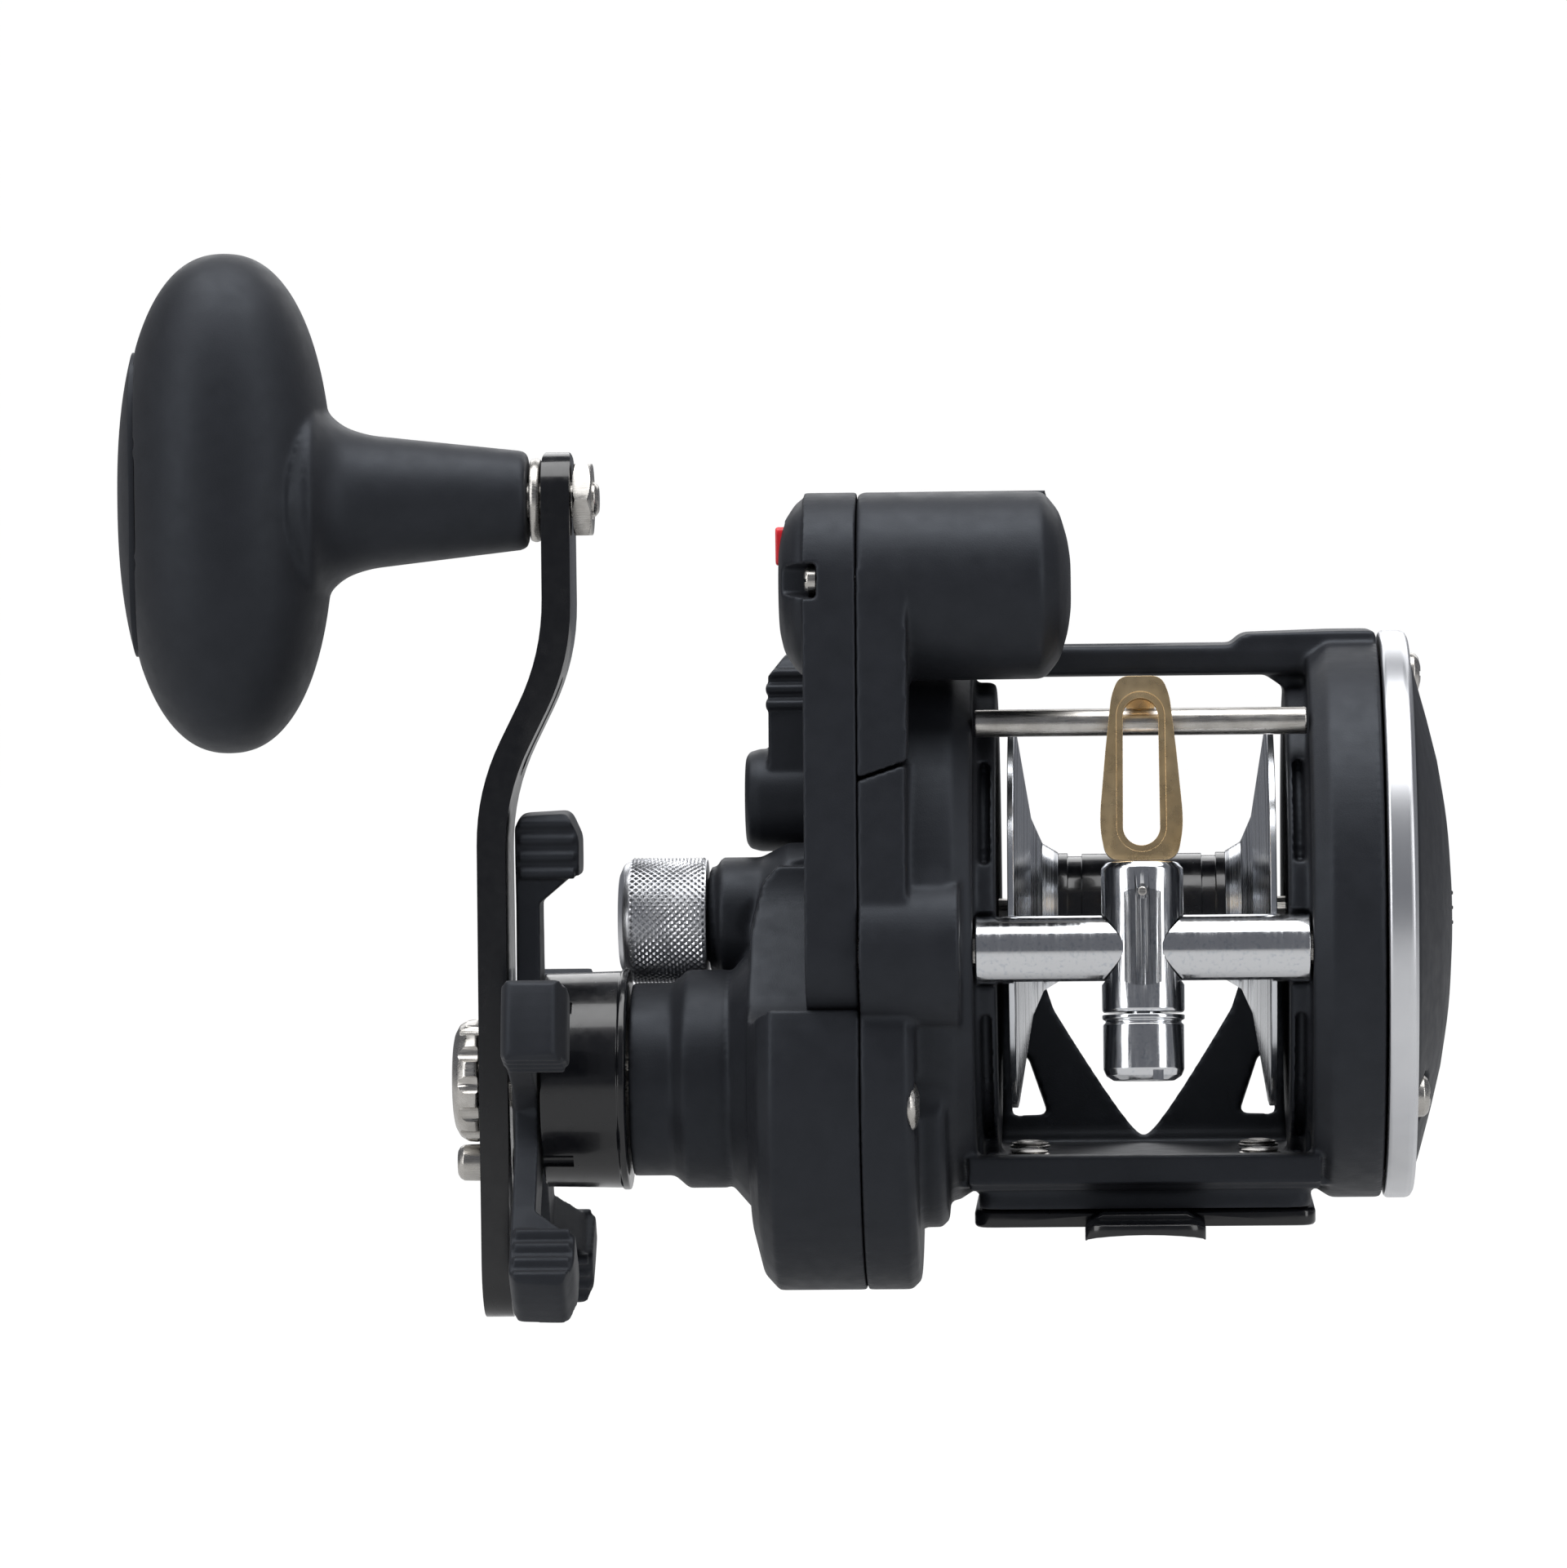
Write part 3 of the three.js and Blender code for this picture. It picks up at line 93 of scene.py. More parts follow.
SPOOL = (0.0, 0.0)
MAIN = axis_of("drive_shaft")
WORM = axis_of("worm_tube")
ROD = axis_of("stabilizer_rod")
COUNTER = axis_of("units_wheel")
LOWER_IDLER = joint_axis("lower_idler_spin")
UPPER_IDLER = joint_axis("upper_idler_spin")
LEVER = joint_axis("lever_turn")
KNOB = axis_of("knob_washer")
LOCK = axis_of("handle_lock_screw")
COVER_SCREW = axis_of("cover_screw")
COUNTER_SCREW = axis_of("counter_screw")
BUTTON = axis_of("reset_button")

SEAM = low("frame").x
WINDOW = 21.0
RING = 36.0
RIGHT_END = high("frame").x
GEARBOX = 26.8
GEARBOX_X = -49.3
PLATE_X = -41.5
COUNTER_RADIUS = 11.8
GUIDE_LEAN = math.radians(6)


# ---------------------------------------------------------------- mesh kernel

def link(name, mesh):
    obj = bpy.data.objects.new(name, mesh)
    bpy.context.scene.collection.objects.link(obj)
    return obj


def solid(name, verts, faces):
    mesh = bpy.data.meshes.new(name)
    mesh.from_pydata(verts, [], faces)
    work = bmesh.new()
    work.from_mesh(mesh)
    bmesh.ops.remove_doubles(work, verts=work.verts, dist=1e-4)
    bmesh.ops.recalc_face_normals(work, faces=work.faces)
    work.to_mesh(mesh)
    work.free()
    return link(name, mesh)


def rounded(points, radius, steps=4, closed=True):
    """The same outline with each corner turned into an arc."""
    count = len(points)
    result = []
    for index, point in enumerate(points):
        here = Vector(point)
        before = Vector(points[index - 1]) - here
        after = Vector(points[(index + 1) % count]) - here
        inside = closed or 0 < index < count - 1
        reach = min(radius, before.length * 0.48, after.length * 0.48)
        if not inside or reach < 1e-3 or before.angle(after) > math.radians(175):
            result.append(tuple(here))
            continue
        start = here + before.normalized() * reach
        end = here + after.normalized() * reach
        for step in range(steps + 1):
            t = step / steps
            result.append(tuple((1 - t) ** 2 * start + 2 * t * (1 - t) * here + t ** 2 * end))
    return result


def turned(profile, axis=SPOOL, segments=MEDIUM, radius=0.25, name="solid"):
    """A solid turned about an axis along X, from a list of (x, radius)."""
    points = list(profile)
    if points[0][1] > 0:
        points.insert(0, (points[0][0], 0.0))
    if points[-1][1] > 0:
        points.append((points[-1][0], 0.0))
    if radius:
        points = rounded(points, radius, closed=False)
    verts = []
    for x, r in points:
        for index in range(segments):
            angle = 2 * math.pi * index / segments
            verts.append((x, axis[0] + r * math.cos(angle), axis[1] + r * math.sin(angle)))
    faces = []
    for start in range(0, (len(points) - 1) * segments, segments):
        for index in range(segments):
            following = (index + 1) % segments
            faces.append((start + index, start + following,
                          start + segments + following, start + segments + index))
    return solid(name, verts, faces)


def rod(x0, x1, r, axis=SPOOL, segments=MEDIUM, radius=0.0):
    return turned([(x0, r), (x1, r)], axis, segments, radius)


def upright(profile, x=0.0, y=0.0, segments=MEDIUM, radius=0.25):
    """A solid turned about a vertical axis, from a list of (z, radius)."""
    obj = turned(profile, SPOOL, segments, radius)
    obj.data.transform(Matrix(((0, 1, 0, x), (0, 0, 1, y), (1, 0, 0, 0), (0, 0, 0, 1))))
    return obj


def facing(profile, x=0.0, z=0.0, segments=MEDIUM, radius=0.15):
    """A solid turned about an axis along Y, from a list of (y, radius)."""
    obj = turned(profile, SPOOL, segments, radius)
    obj.data.transform(Matrix(((0, 1, 0, x), (1, 0, 0, 0), (0, 0, 1, z), (0, 0, 0, 1))))
    return obj


PLANES = {
    "x": lambda u, v, w: (w, u, v),
    "y": lambda u, v, w: (u, w, v),
    "z": lambda u, v, w: (u, v, w),
}


def prism(outline, along, w0, w1):
    """An outline in the two other axes, swept along X, Y or Z."""
    spot = PLANES[along]
    count = len(outline)
    verts = [spot(u, v, w) for w in (w0, w1) for u, v in outline]
    faces = [tuple(range(count)), tuple(range(count, 2 * count))]
    for index in range(count):
        following = (index + 1) % count
        faces.append((index, following, count + following, count + index))
    return solid("solid", verts, faces)


def block(x, y, z, radius=0.0):
    """A box between pairs of x, y and z, with its upright edges rounded."""
    corners = [(x[0], y[0]), (x[1], y[0]), (x[1], y[1]), (x[0], y[1])]
    return prism(rounded(corners, radius) if radius else corners, "z", *z)


def hull(points):
    """The outline around a set of points."""
    def turn(o, a, b):
        return (a[0] - o[0]) * (b[1] - o[1]) - (a[1] - o[1]) * (b[0] - o[0])

    def half(ordered):
        chain = []
        for point in ordered:
            while len(chain) > 1 and turn(chain[-2], chain[-1], point) <= 1e-6:
                chain.pop()
            chain.append(point)
        return chain[:-1]

    ordered = sorted(points)
    return half(ordered) + half(ordered[::-1])


def circle(middle, r, steps=MEDIUM):
    angles = [2 * math.pi * index / steps for index in range(steps)]
    return [(middle[0] + r * math.cos(angle), middle[1] + r * math.sin(angle)) for angle in angles]


def belt(*wheels):
    """The outline of a belt around wheels, each given as (middle, radius)."""
    return hull([point for middle, r in wheels for point in circle(middle, r)])


def bake(obj):
    graph = bpy.context.evaluated_depsgraph_get()
    mesh = bpy.data.meshes.new_from_object(obj.evaluated_get(graph))
    obj.modifiers.clear()
    obj.data = mesh
    return obj


def combine(obj, operation, tools):
    for tool in tools:
        modifier = obj.modifiers.new("boolean", "BOOLEAN")
        modifier.operation = operation
        modifier.solver = "MANIFOLD"
        modifier.object = tool
        bake(obj)
        bpy.data.objects.remove(tool)
    return obj


def join(obj, *others):
    return combine(obj, "UNION", others)


def cut(obj, *tools):
    return combine(obj, "DIFFERENCE", tools)


def common(obj, *others):
    return combine(obj, "INTERSECT", others)


def tube(x0, x1, bore, r, axis=SPOOL, segments=MEDIUM):
    return cut(rod(x0, x1, r, axis, segments), rod(x0 - 1, x1 + 1, bore, axis, segments))


def soften(obj, voxel=VOXEL, passes=5, keep=0.5):
    """Rounds every edge, as on a moulding: a fine remesh, a relaxation, then fewer faces."""
    remesh = obj.modifiers.new("remesh", "REMESH")
    remesh.mode = "VOXEL"
    remesh.voxel_size = voxel
    relax = obj.modifiers.new("relax", "SMOOTH")
    relax.factor = 0.5
    relax.iterations = passes
    thin = obj.modifiers.new("thin", "DECIMATE")
    thin.ratio = keep
    return bake(obj)


def bevel(obj, width, segments=3, degrees=35):
    modifier = obj.modifiers.new("bevel", "BEVEL")
    modifier.width = width
    modifier.segments = segments
    modifier.limit_method = "ANGLE"
    modifier.angle_limit = math.radians(degrees)
    return bake(obj)


def shade(obj, degrees):
    """Smooth shading, with edges steeper than this kept sharp."""
    work = bmesh.new()
    work.from_mesh(obj.data)
    for face in work.faces:
        face.smooth = True
    for edge in work.edges:
        edge.smooth = edge.calc_face_angle(0.0) < math.radians(degrees)
    work.to_mesh(obj.data)
    work.free()


def place(obj, name, material, nodes=None, degrees=32):
    """Puts a finished piece in the row frame, in place of CAD nodes."""
    nodes = nodes or [name]
    obj.name = name + "_shape"
    obj.data.transform(Matrix.Translation((0, 0, SPOOL_Z * MM)) @ Matrix.Scale(MM, 4))
    obj.data.materials.clear()
    obj.data.materials.append(material)
    shade(obj, degrees)
    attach(obj, NODE_BODY[nodes[0]])
    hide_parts(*nodes)
    return obj


# ---------------------------------------------------------------- materials

class Nodes:
    """A material's node tree, with the few nodes that the finishes share."""

    def __init__(self, name, colour, roughness, metallic=0.0):
        self.material = bpy.data.materials.new(name)
        self.material.use_nodes = True
        self.tree = self.material.node_tree
        self.shader = self.tree.nodes["Principled BSDF"]
        self.set("Base Color", (*colour, 1.0))
        self.set("Roughness", roughness)
        self.set("Metallic", metallic)
        self.coordinates = self.tree.nodes.new("ShaderNodeTexCoord").outputs["Object"]

    def set(self, socket, value):
        self.shader.inputs[socket].default_value = value

    def link(self, source, target):
        self.tree.links.new(source, target)

    def noise(self, scale, detail=3.0, stretch=(1.0, 1.0, 1.0)):
        """Noise in the row frame: scale is in waves to the metre."""
        mapping = self.tree.nodes.new("ShaderNodeMapping")
        mapping.inputs["Scale"].default_value = stretch
        node = self.tree.nodes.new("ShaderNodeTexNoise")
        node.inputs["Scale"].default_value = scale
        node.inputs["Detail"].default_value = detail
        self.link(self.coordinates, mapping.inputs["Vector"])
        self.link(mapping.outputs["Vector"], node.inputs["Vector"])
        return node.outputs["Fac"]

    def math(self, operation, first, second=0.0):
        node = self.tree.nodes.new("ShaderNodeMath")
        node.operation = operation
        for socket, value in zip(node.inputs, (first, second)):
            if isinstance(value, float):
                socket.default_value = value
            else:
                self.link(value, socket)
        return node.outputs[0]

    def radius(self, axis):
        """The distance from an axis along X, in metres."""
        offset = self.tree.nodes.new("ShaderNodeVectorMath")
        offset.inputs[1].default_value = (0.0, -axis[0] * MM, -(axis[1] + SPOOL_Z) * MM)
        flat = self.tree.nodes.new("ShaderNodeVectorMath")
        flat.operation = "MULTIPLY"
        flat.inputs[1].default_value = (0.0, 1.0, 1.0)
        length = self.tree.nodes.new("ShaderNodeVectorMath")
        length.operation = "LENGTH"
        self.link(self.coordinates, offset.inputs[0])
        self.link(offset.outputs[0], flat.inputs[0])
        self.link(flat.outputs[0], length.inputs[0])
        return length.outputs["Value"]

    def rings(self, axis, per_metre):
        """Turning marks: noise that depends only on the distance from an axis."""
        node = self.tree.nodes.new("ShaderNodeTexNoise")
        node.noise_dimensions = "1D"
        node.inputs["Scale"].default_value = per_metre
        node.inputs["Detail"].default_value = 4.0
        self.link(self.radius(axis), node.inputs["W"])
        return node.outputs["Fac"]

    def ramp(self, factor, *stops):
        node = self.tree.nodes.new("ShaderNodeValToRGB")
        elements = node.color_ramp.elements
        while len(elements) < len(stops):
            elements.new(0.5)
        for element, (position, value) in zip(elements, stops):
            element.position = position
            element.color = (*value, 1.0) if isinstance(value, tuple) else (value, value, value, 1.0)
        self.link(factor, node.inputs["Fac"])
        return node.outputs["Color"]

    def colour(self, source):
        self.link(source, self.shader.inputs["Base Color"])

    def roughness(self, source):
        self.link(source, self.shader.inputs["Roughness"])

    def bump(self, height, distance, strength=1.0):
        node = self.tree.nodes.new("ShaderNodeBump")
        node.inputs["Strength"].default_value = strength
        node.inputs["Distance"].default_value = distance
        self.link(height, node.inputs["Height"])
        previous = self.shader.inputs["Normal"].links
        if previous:
            self.link(previous[0].from_socket, node.inputs["Normal"])
        self.link(node.outputs["Normal"], self.shader.inputs["Normal"])


def grained_plastic(name, dark, pale, roughness, grain_depth):
    """Black plastic with a fine moulded grain and a faint mottle."""
    nodes = Nodes(name, pale, roughness)
    nodes.set("Specular IOR Level", 0.4)
    nodes.set("Specular Tint", (0.80, 0.88, 1.0, 1.0))
    nodes.colour(nodes.ramp(nodes.noise(260.0, 4.0), (0.3, dark), (0.7, pale)))
    nodes.roughness(nodes.ramp(nodes.noise(420.0, 2.0), (0.25, roughness - 0.05), (0.75, roughness + 0.06)))
    nodes.bump(nodes.noise(5200.0, 2.0), grain_depth, 0.5)
    return nodes.material


def body_plastic():
    return grained_plastic("body_plastic", (0.0125, 0.0132, 0.0160), (0.0160, 0.0168, 0.0205), 0.48, 0.00003)


def soft_black():
    dark, pale = (0.0115, 0.0122, 0.0150), (0.0150, 0.0158, 0.0195)
    material = grained_plastic("soft_black", dark, pale, 0.52, 0.00002)
    shader = material.node_tree.nodes["Principled BSDF"]
    shader.inputs["Sheen Weight"].default_value = 0.05
    shader.inputs["Sheen Roughness"].default_value = 0.5
    return material


def gloss_black():
    nodes = Nodes("gloss_black", (0.005, 0.0054, 0.0070), 0.2)
    nodes.set("Coat Weight", 0.35)
    nodes.set("Coat Roughness", 0.06)
    nodes.roughness(nodes.ramp(nodes.noise(700.0, 4.0), (0.3, 0.16), (0.7, 0.28)))
    nodes.bump(nodes.noise(900.0, 2.0), 0.00002, 0.15)
    return nodes.material


def satin_aluminium():
    nodes = Nodes("satin_aluminium", (0.78, 0.79, 0.81), 0.32, 1.0)
    turning = nodes.rings(SPOOL, 9000.0)
    nodes.colour(nodes.ramp(nodes.noise(90.0), (0.3, (0.70, 0.71, 0.74)), (0.7, (0.82, 0.83, 0.85))))
    nodes.roughness(nodes.ramp(turning, (0.3, 0.27), (0.7, 0.42)))
    nodes.bump(turning, 0.00002, 0.3)
    return nodes.material


def spool_aluminium():
    nodes = Nodes("spool_aluminium", (0.72, 0.74, 0.78), 0.2, 1.0)
    turning = nodes.rings(SPOOL, 1500.0)
    nodes.colour(nodes.ramp(turning, (0.35, (0.30, 0.31, 0.33)), (0.45, (0.74, 0.76, 0.79)),
                            (0.75, (0.80, 0.82, 0.86))))
    nodes.roughness(nodes.ramp(nodes.rings(SPOOL, 7000.0), (0.3, 0.14), (0.7, 0.3)))
    nodes.bump(turning, 0.00004, 0.5)
    return nodes.material


def chrome():
    nodes = Nodes("chrome", (0.76, 0.78, 0.80), 0.1, 1.0)
    scratches = nodes.noise(260.0, 6.0, (9.0, 1.0, 1.0))
    nodes.colour(nodes.ramp(nodes.noise(1900.0, 5.0), (0.32, (0.66, 0.69, 0.73)), (0.46, (0.78, 0.79, 0.81))))
    nodes.roughness(nodes.ramp(scratches, (0.35, 0.09), (0.7, 0.22)))
    nodes.bump(scratches, 0.00001, 0.3)
    return nodes.material


def steel():
    nodes = Nodes("steel", (0.56, 0.54, 0.51), 0.3, 1.0)
    nodes.colour(nodes.ramp(nodes.noise(380.0, 4.0), (0.3, (0.48, 0.46, 0.43)), (0.7, (0.66, 0.64, 0.61))))
    brushing = nodes.noise(500.0, 4.0, (0.6, 12.0, 12.0))
    nodes.roughness(nodes.ramp(brushing, (0.3, 0.2), (0.7, 0.4)))
    nodes.bump(brushing, 0.00001, 0.3)
    return nodes.material


def brass():
    nodes = Nodes("brass", (0.90, 0.66, 0.36), 0.28, 1.0)
    nodes.colour(nodes.ramp(nodes.noise(120.0, 2.0), (0.3, (0.86, 0.61, 0.31)), (0.7, (0.93, 0.71, 0.42))))
    nodes.roughness(nodes.ramp(nodes.noise(600.0, 4.0), (0.3, 0.24), (0.7, 0.34)))
    nodes.bump(nodes.noise(2500.0, 3.0), 0.000004, 0.15)
    return nodes.material


def red_button():
    nodes = Nodes("red_button", (0.72, 0.018, 0.03), 0.32)
    nodes.colour(nodes.ramp(nodes.noise(400.0), (0.3, (0.66, 0.014, 0.024)), (0.7, (0.78, 0.022, 0.035))))
    nodes.bump(nodes.noise(4000.0, 2.0), 0.00001, 0.3)
    return nodes.material


def gear_white():
    nodes = Nodes("gear_white", (0.78, 0.78, 0.75), 0.45)
    nodes.set("Subsurface Weight", 0.1)
    nodes.set("Subsurface Scale", 0.001)
    nodes.colour(nodes.ramp(nodes.noise(500.0), (0.3, (0.72, 0.72, 0.69)), (0.7, (0.82, 0.82, 0.79))))
    return nodes.material


def lens():
    nodes = Nodes("lens", (0.9, 0.93, 0.95), 0.06)
    nodes.set("Transmission Weight", 0.92)
    nodes.set("IOR", 1.49)
    nodes.roughness(nodes.ramp(nodes.noise(600.0), (0.4, 0.03), (0.8, 0.12)))
    return nodes.material


def fibre():
    nodes = Nodes("fibre", (0.012, 0.012, 0.013), 0.85)
    dark, pale = (0.3, (0.008, 0.008, 0.009)), (0.7, (0.03, 0.029, 0.028))
    nodes.colour(nodes.ramp(nodes.noise(1800.0, 6.0), dark, pale))
    nodes.bump(nodes.noise(4000.0, 4.0), 0.00006, 0.6)
    return nodes.material


def digit_ink():
    nodes = Nodes("digit_ink", (0.01, 0.01, 0.01), 0.4)
    nodes.roughness(nodes.ramp(nodes.noise(900.0), (0.3, 0.35), (0.7, 0.5)))
    return nodes.material


MATERIALS = {
    "body_plastic": body_plastic(),
    "soft_black": soft_black(),
    "gloss_black": gloss_black(),
    "satin_aluminium": satin_aluminium(),
    "chrome": chrome(),
    "steel": steel(),
    "brass": brass(),
    "red_button": red_button(),
    "gear_white": gear_white(),
    "lens": lens(),
    "fibre": fibre(),
}


def finish_inner_parts():
    """Gears, bearings and shafts keep their CAD shape and take their finish by slot."""
    for node, obj in frame["nodes"].items():
        obj.data.materials.clear()
        obj.data.materials.append(MATERIALS[NODE_SLOT[node]])


# ---------------------------------------------------------------- frame and foot

def train_outline(grow=0.0):
    """The belt shape around the worm, the two counter idlers and the counter."""
    return belt((WORM, 8.4 + grow), (LOWER_IDLER, 11.6 + grow), (UPPER_IDLER, 11.6 + grow),
                (COUNTER, COUNTER_RADIUS + grow))


def below_leg(lift):
    """The space under the sloping joint between the frame and the counter's leg."""
    return prism([(-50, 13.9 + lift), (-50, -60), (0, -60), (0, 30.4 + lift)], "y", -60, 60)


def side_housing():
    """The handle-side ring, with the bulges that cover the drive."""
    wall = turned([(SEAM, RING), (-23.6, RING), (-21.9, RING - 1.1), (-WINDOW, RING - 1.6)], SPOOL, FINE)
    gear_bulge = turned([(SEAM, GEARBOX), (-29.4, GEARBOX), (-28.2, GEARBOX - 1.2)], MAIN, FINE)
    inner_bulge = turned([(SEAM, 19), (-25.6, 19), (-24.6, 18)], MAIN, FINE)
    worm_bulge = rod(SEAM, -22.5, 10, WORM)
    train_bulge = common(prism(train_outline(), "x", SEAM, -29.0), below_leg(0.0))
    front_wall = prism(belt((WORM, 8.2), (LOWER_IDLER, 11.4), (SPOOL, RING - 6)), "x", -30, -23.7)
    outer = join(wall, gear_bulge, inner_bulge, worm_bulge, train_bulge, bevel(front_wall, 0.8, 3))
    return cut(outer,
               rod(SEAM - 1, -24.3, 32, SPOOL, FINE),
               rod(SEAM - 1, -30.4, GEARBOX - 3.4, MAIN, FINE),
               rod(SEAM - 1, -24.3, 9.2, WORM))


def palm_housing():
    wall = turned([(WINDOW, RING - 1.6), (21.9, RING - 1.1), (23.6, RING), (RIGHT_END, RING)], SPOOL, FINE)
    return cut(wall, rod(24.3, RIGHT_END + 1, 32, SPOOL, FINE))


def cheek(side):
    """The disc beside a spool flange, with long shallow panels sunk in its rim."""
    ends = sorted((side * 21.5, side * 18.2))
    disc = rod(ends[0], ends[1], 30, SPOOL, FINE, 0.8)
    rim = sorted((side * 18.9, side * 20.3))
    panels = []
    for z0, z1, tip in ((-27.5, -10.5, 0.0), (8.0, 20.5, 3.2)):
        outline = [(-40, z0), (0, z0), (0, z1), (-40, z1)]
        wedge = [(rim[0], z0), ((rim[0] + rim[1]) / 2, z0 - tip), (rim[1], z0), (rim[1], z1), (rim[0], z1)]
        band = common(tube(rim[0], rim[1], 28.3, 33, SPOOL, FINE), prism(outline, "x", *rim))
        panels.append(common(band, prism(wedge, "y", -40, 0)) if tip else band)
    return cut(disc, rod(side * 17, side * WINDOW, 4.8, WORM), *panels)


def top_bar():
    section = rounded([(-9.2, 31.4), (-8.2, 30.8), (9.2, 30.8), (9.2, 34.7), (-9.2, 34.7)], 0.9)
    bar = prism(section, "x", -22, 22)
    shoulder = prism(rounded([(11, 33), (11.2, 34.4), (13, 36), (24, 36.3), (29.8, 36.3), (29.8, 33)], 0.8),
                     "y", -9, 9)
    web = prism(rounded([(15.5, 31), (22, 26.5), (22, 33), (15.5, 33)], 1.5), "y", -7, 9)
    recess = prism(rounded([(-13, -6.5), (2.5, -6.5), (5, 0), (2.5, 6.5), (-13, 6.5)], 3), "z", 34.1, 40)
    return cut(join(bar, shoulder, web), recess)


def bottom_bar():
    plate = block((-22, 22), (-19, 19), (-33.4, -30.3))
    lip = block((-22, 22), (-20.4, -16.8), (-32.6, -28.9))
    step = block((-20.9, 20.9), (-16, 16), (-36, -33), 2.5)
    return join(plate, lip, step)


def rear_brace():
    """The plate behind the spool: two horns around a round-bottomed opening."""
    half, top = 18.6, 26.0
    plate = prism(rounded([(-half, -0.6), (half, -0.6), (half, top), (-half, top)], 0.4), "y", -1.1, 1.1)
    sill = prism([(-half, -0.6), (half, -0.6), (half, 2.4), (-half, 2.4)], "y", -1.5, 1.2)
    curve = [(-14.2, top + 1), (-11.6, 19)]
    for step in range(1, 20):
        t = step / 10 - 1
        curve.append((11.6 * t * (0.28 + 0.72 * abs(t)), 2.2 + 16.8 * t ** 2))
    curve += [(11.6, 19), (14.2, top + 1)]
    opening = prism(curve, "y", -3, 3)
    corners = []
    for side in (-1, 1):
        outline = [(side * 12.4, 5.1), (side * 17.2, 4.9), (side * 16.4, 11), (side * 15.4, 14)]
        corners.append(prism(rounded(outline, 0.8), "y", -3, 3))
    flat = cut(join(plate, sill), opening, *corners)
    flat.data.transform(Matrix.Translation((0, 18.6, -31.8)) @ Matrix.Rotation(math.radians(-14), 4, "X"))
    return flat


RIVETS = [(x, y) for x in (-14.6, 14.6) for y in (-6.7, 6.7)]


def build_frame():
    body = join(side_housing(), palm_housing(), cheek(-1), cheek(1), top_bar(), bottom_bar(), rear_brace())
    web = [block(sorted((side * 20.2, side * 23)), (-14, 14), (-33.5, -25)) for side in (-1, 1)]
    holes = [
        rod(-25.3, -19, 8.2), rod(-20, -17, 4.2), rod(19, 25.3, 8.2), rod(17, 20, 4.2),
        rod(-25.3, -20, 2.6, WORM), rod(20, 23.4, 2.6, WORM), rod(-40, -23.7, 3.9, MAIN),
        rod(-29.9, -20, 3.9, COVER_SCREW), rod(-32, -20, 1.6, COVER_SCREW),
        *[upright([(-40, 1.6), (-28, 1.6)], x, y, COARSE, 0) for x, y in RIVETS],
    ]
    body = cut(join(body, *web), *holes)
    place(soften(body, VOXEL, 4, 0.3), "frame", MATERIALS["body_plastic"], degrees=60)


def build_foot():
    """The arched saddle for a rod seat, with a wing on each side for the rivets."""
    seat = low("reel_foot").z + 0.4
    top = high("reel_foot").z
    half = 7.5
    arch = [(half * math.cos(angle), seat - 0.9 + 0.9 * math.sin(angle))
            for angle in (math.pi * step / 10 for step in range(11))]
    roof = [(-half, top - 0.9), (-half * 0.7, top), (half * 0.7, top), (half, top - 0.9)]
    tongue = prism(arch + roof, "y", -30, 30)
    tip = rounded([(-half - 1, -30), (half + 1, -30), (half + 1, 30), (-half - 1, 30)], 5.5, 8)
    tongue = common(tongue, prism(tip, "z", -60, 0))
    tabs = [block((-9, 9), ys, (top - 0.5, 0)) for ys in ((20.9, 40), (-40, -20.9))]
    wing = prism(rounded([(-21.5, -14), (21.5, -14), (21.5, 14), (-21.5, 14)], 2.5), "z", seat - 0.4, top)
    channel = prism([(-half + 0.05, seat - 3)] + [(x * 0.99, z - 0.02) for x, z in arch[::-1]]
                    + [(half - 0.05, seat - 3)], "y", -40, 40)
    holes = [upright([(-60, 1.6), (0, 1.6)], x, y, COARSE, 0) for x, y in RIVETS]
    foot = cut(join(bevel(cut(tongue, *tabs), 0.35), cut(bevel(wing, 0.5), channel)), *holes)
    place(foot, "reel_foot", MATERIALS["gloss_black"])
    for index, (x, y) in enumerate(RIVETS, 1):
        name = f"foot_rivet_{index}"
        base, head = low(name).z, high(name).z
        profile = [(base, 1.2), (base + 0.15, 1.8), (base + 0.5, 2.1), (base + 0.5, 1.3), (head - 0.9, 1.3),
                   (head - 0.9, 2.6), (head - 0.6, 2.6), (head - 0.45, 2.2), (head - 0.25, 2.4), (head, 1.3)]
        place(upright(profile, x, y, COARSE, 0.08), name, MATERIALS["steel"])


# ---------------------------------------------------------------- level wind

def leaned(obj):
    middle = Matrix.Translation((0, WORM[0], WORM[1]))
    obj.data.transform(middle @ Matrix.Rotation(-GUIDE_LEAN, 4, "X") @ middle.inverted())
    return obj


def build_level_wind_rods():
    reach = high("stabilizer_rod").x
    place(rod(-reach, reach, 1.7, ROD, COARSE, 0.3), "stabilizer_rod", MATERIALS["steel"])
    reach = high("worm_tube").x
    slot = leaned(block((-16, 16), (WORM[0] - 1.6, WORM[0] + 1.6), (-20, WORM[1])))
    body = cut(rod(-reach, reach, 4.2, WORM, FINE, 0.2), rod(-reach - 1, reach + 1, 3.1, WORM), slot)
    place(body, "worm_tube", MATERIALS["chrome"])


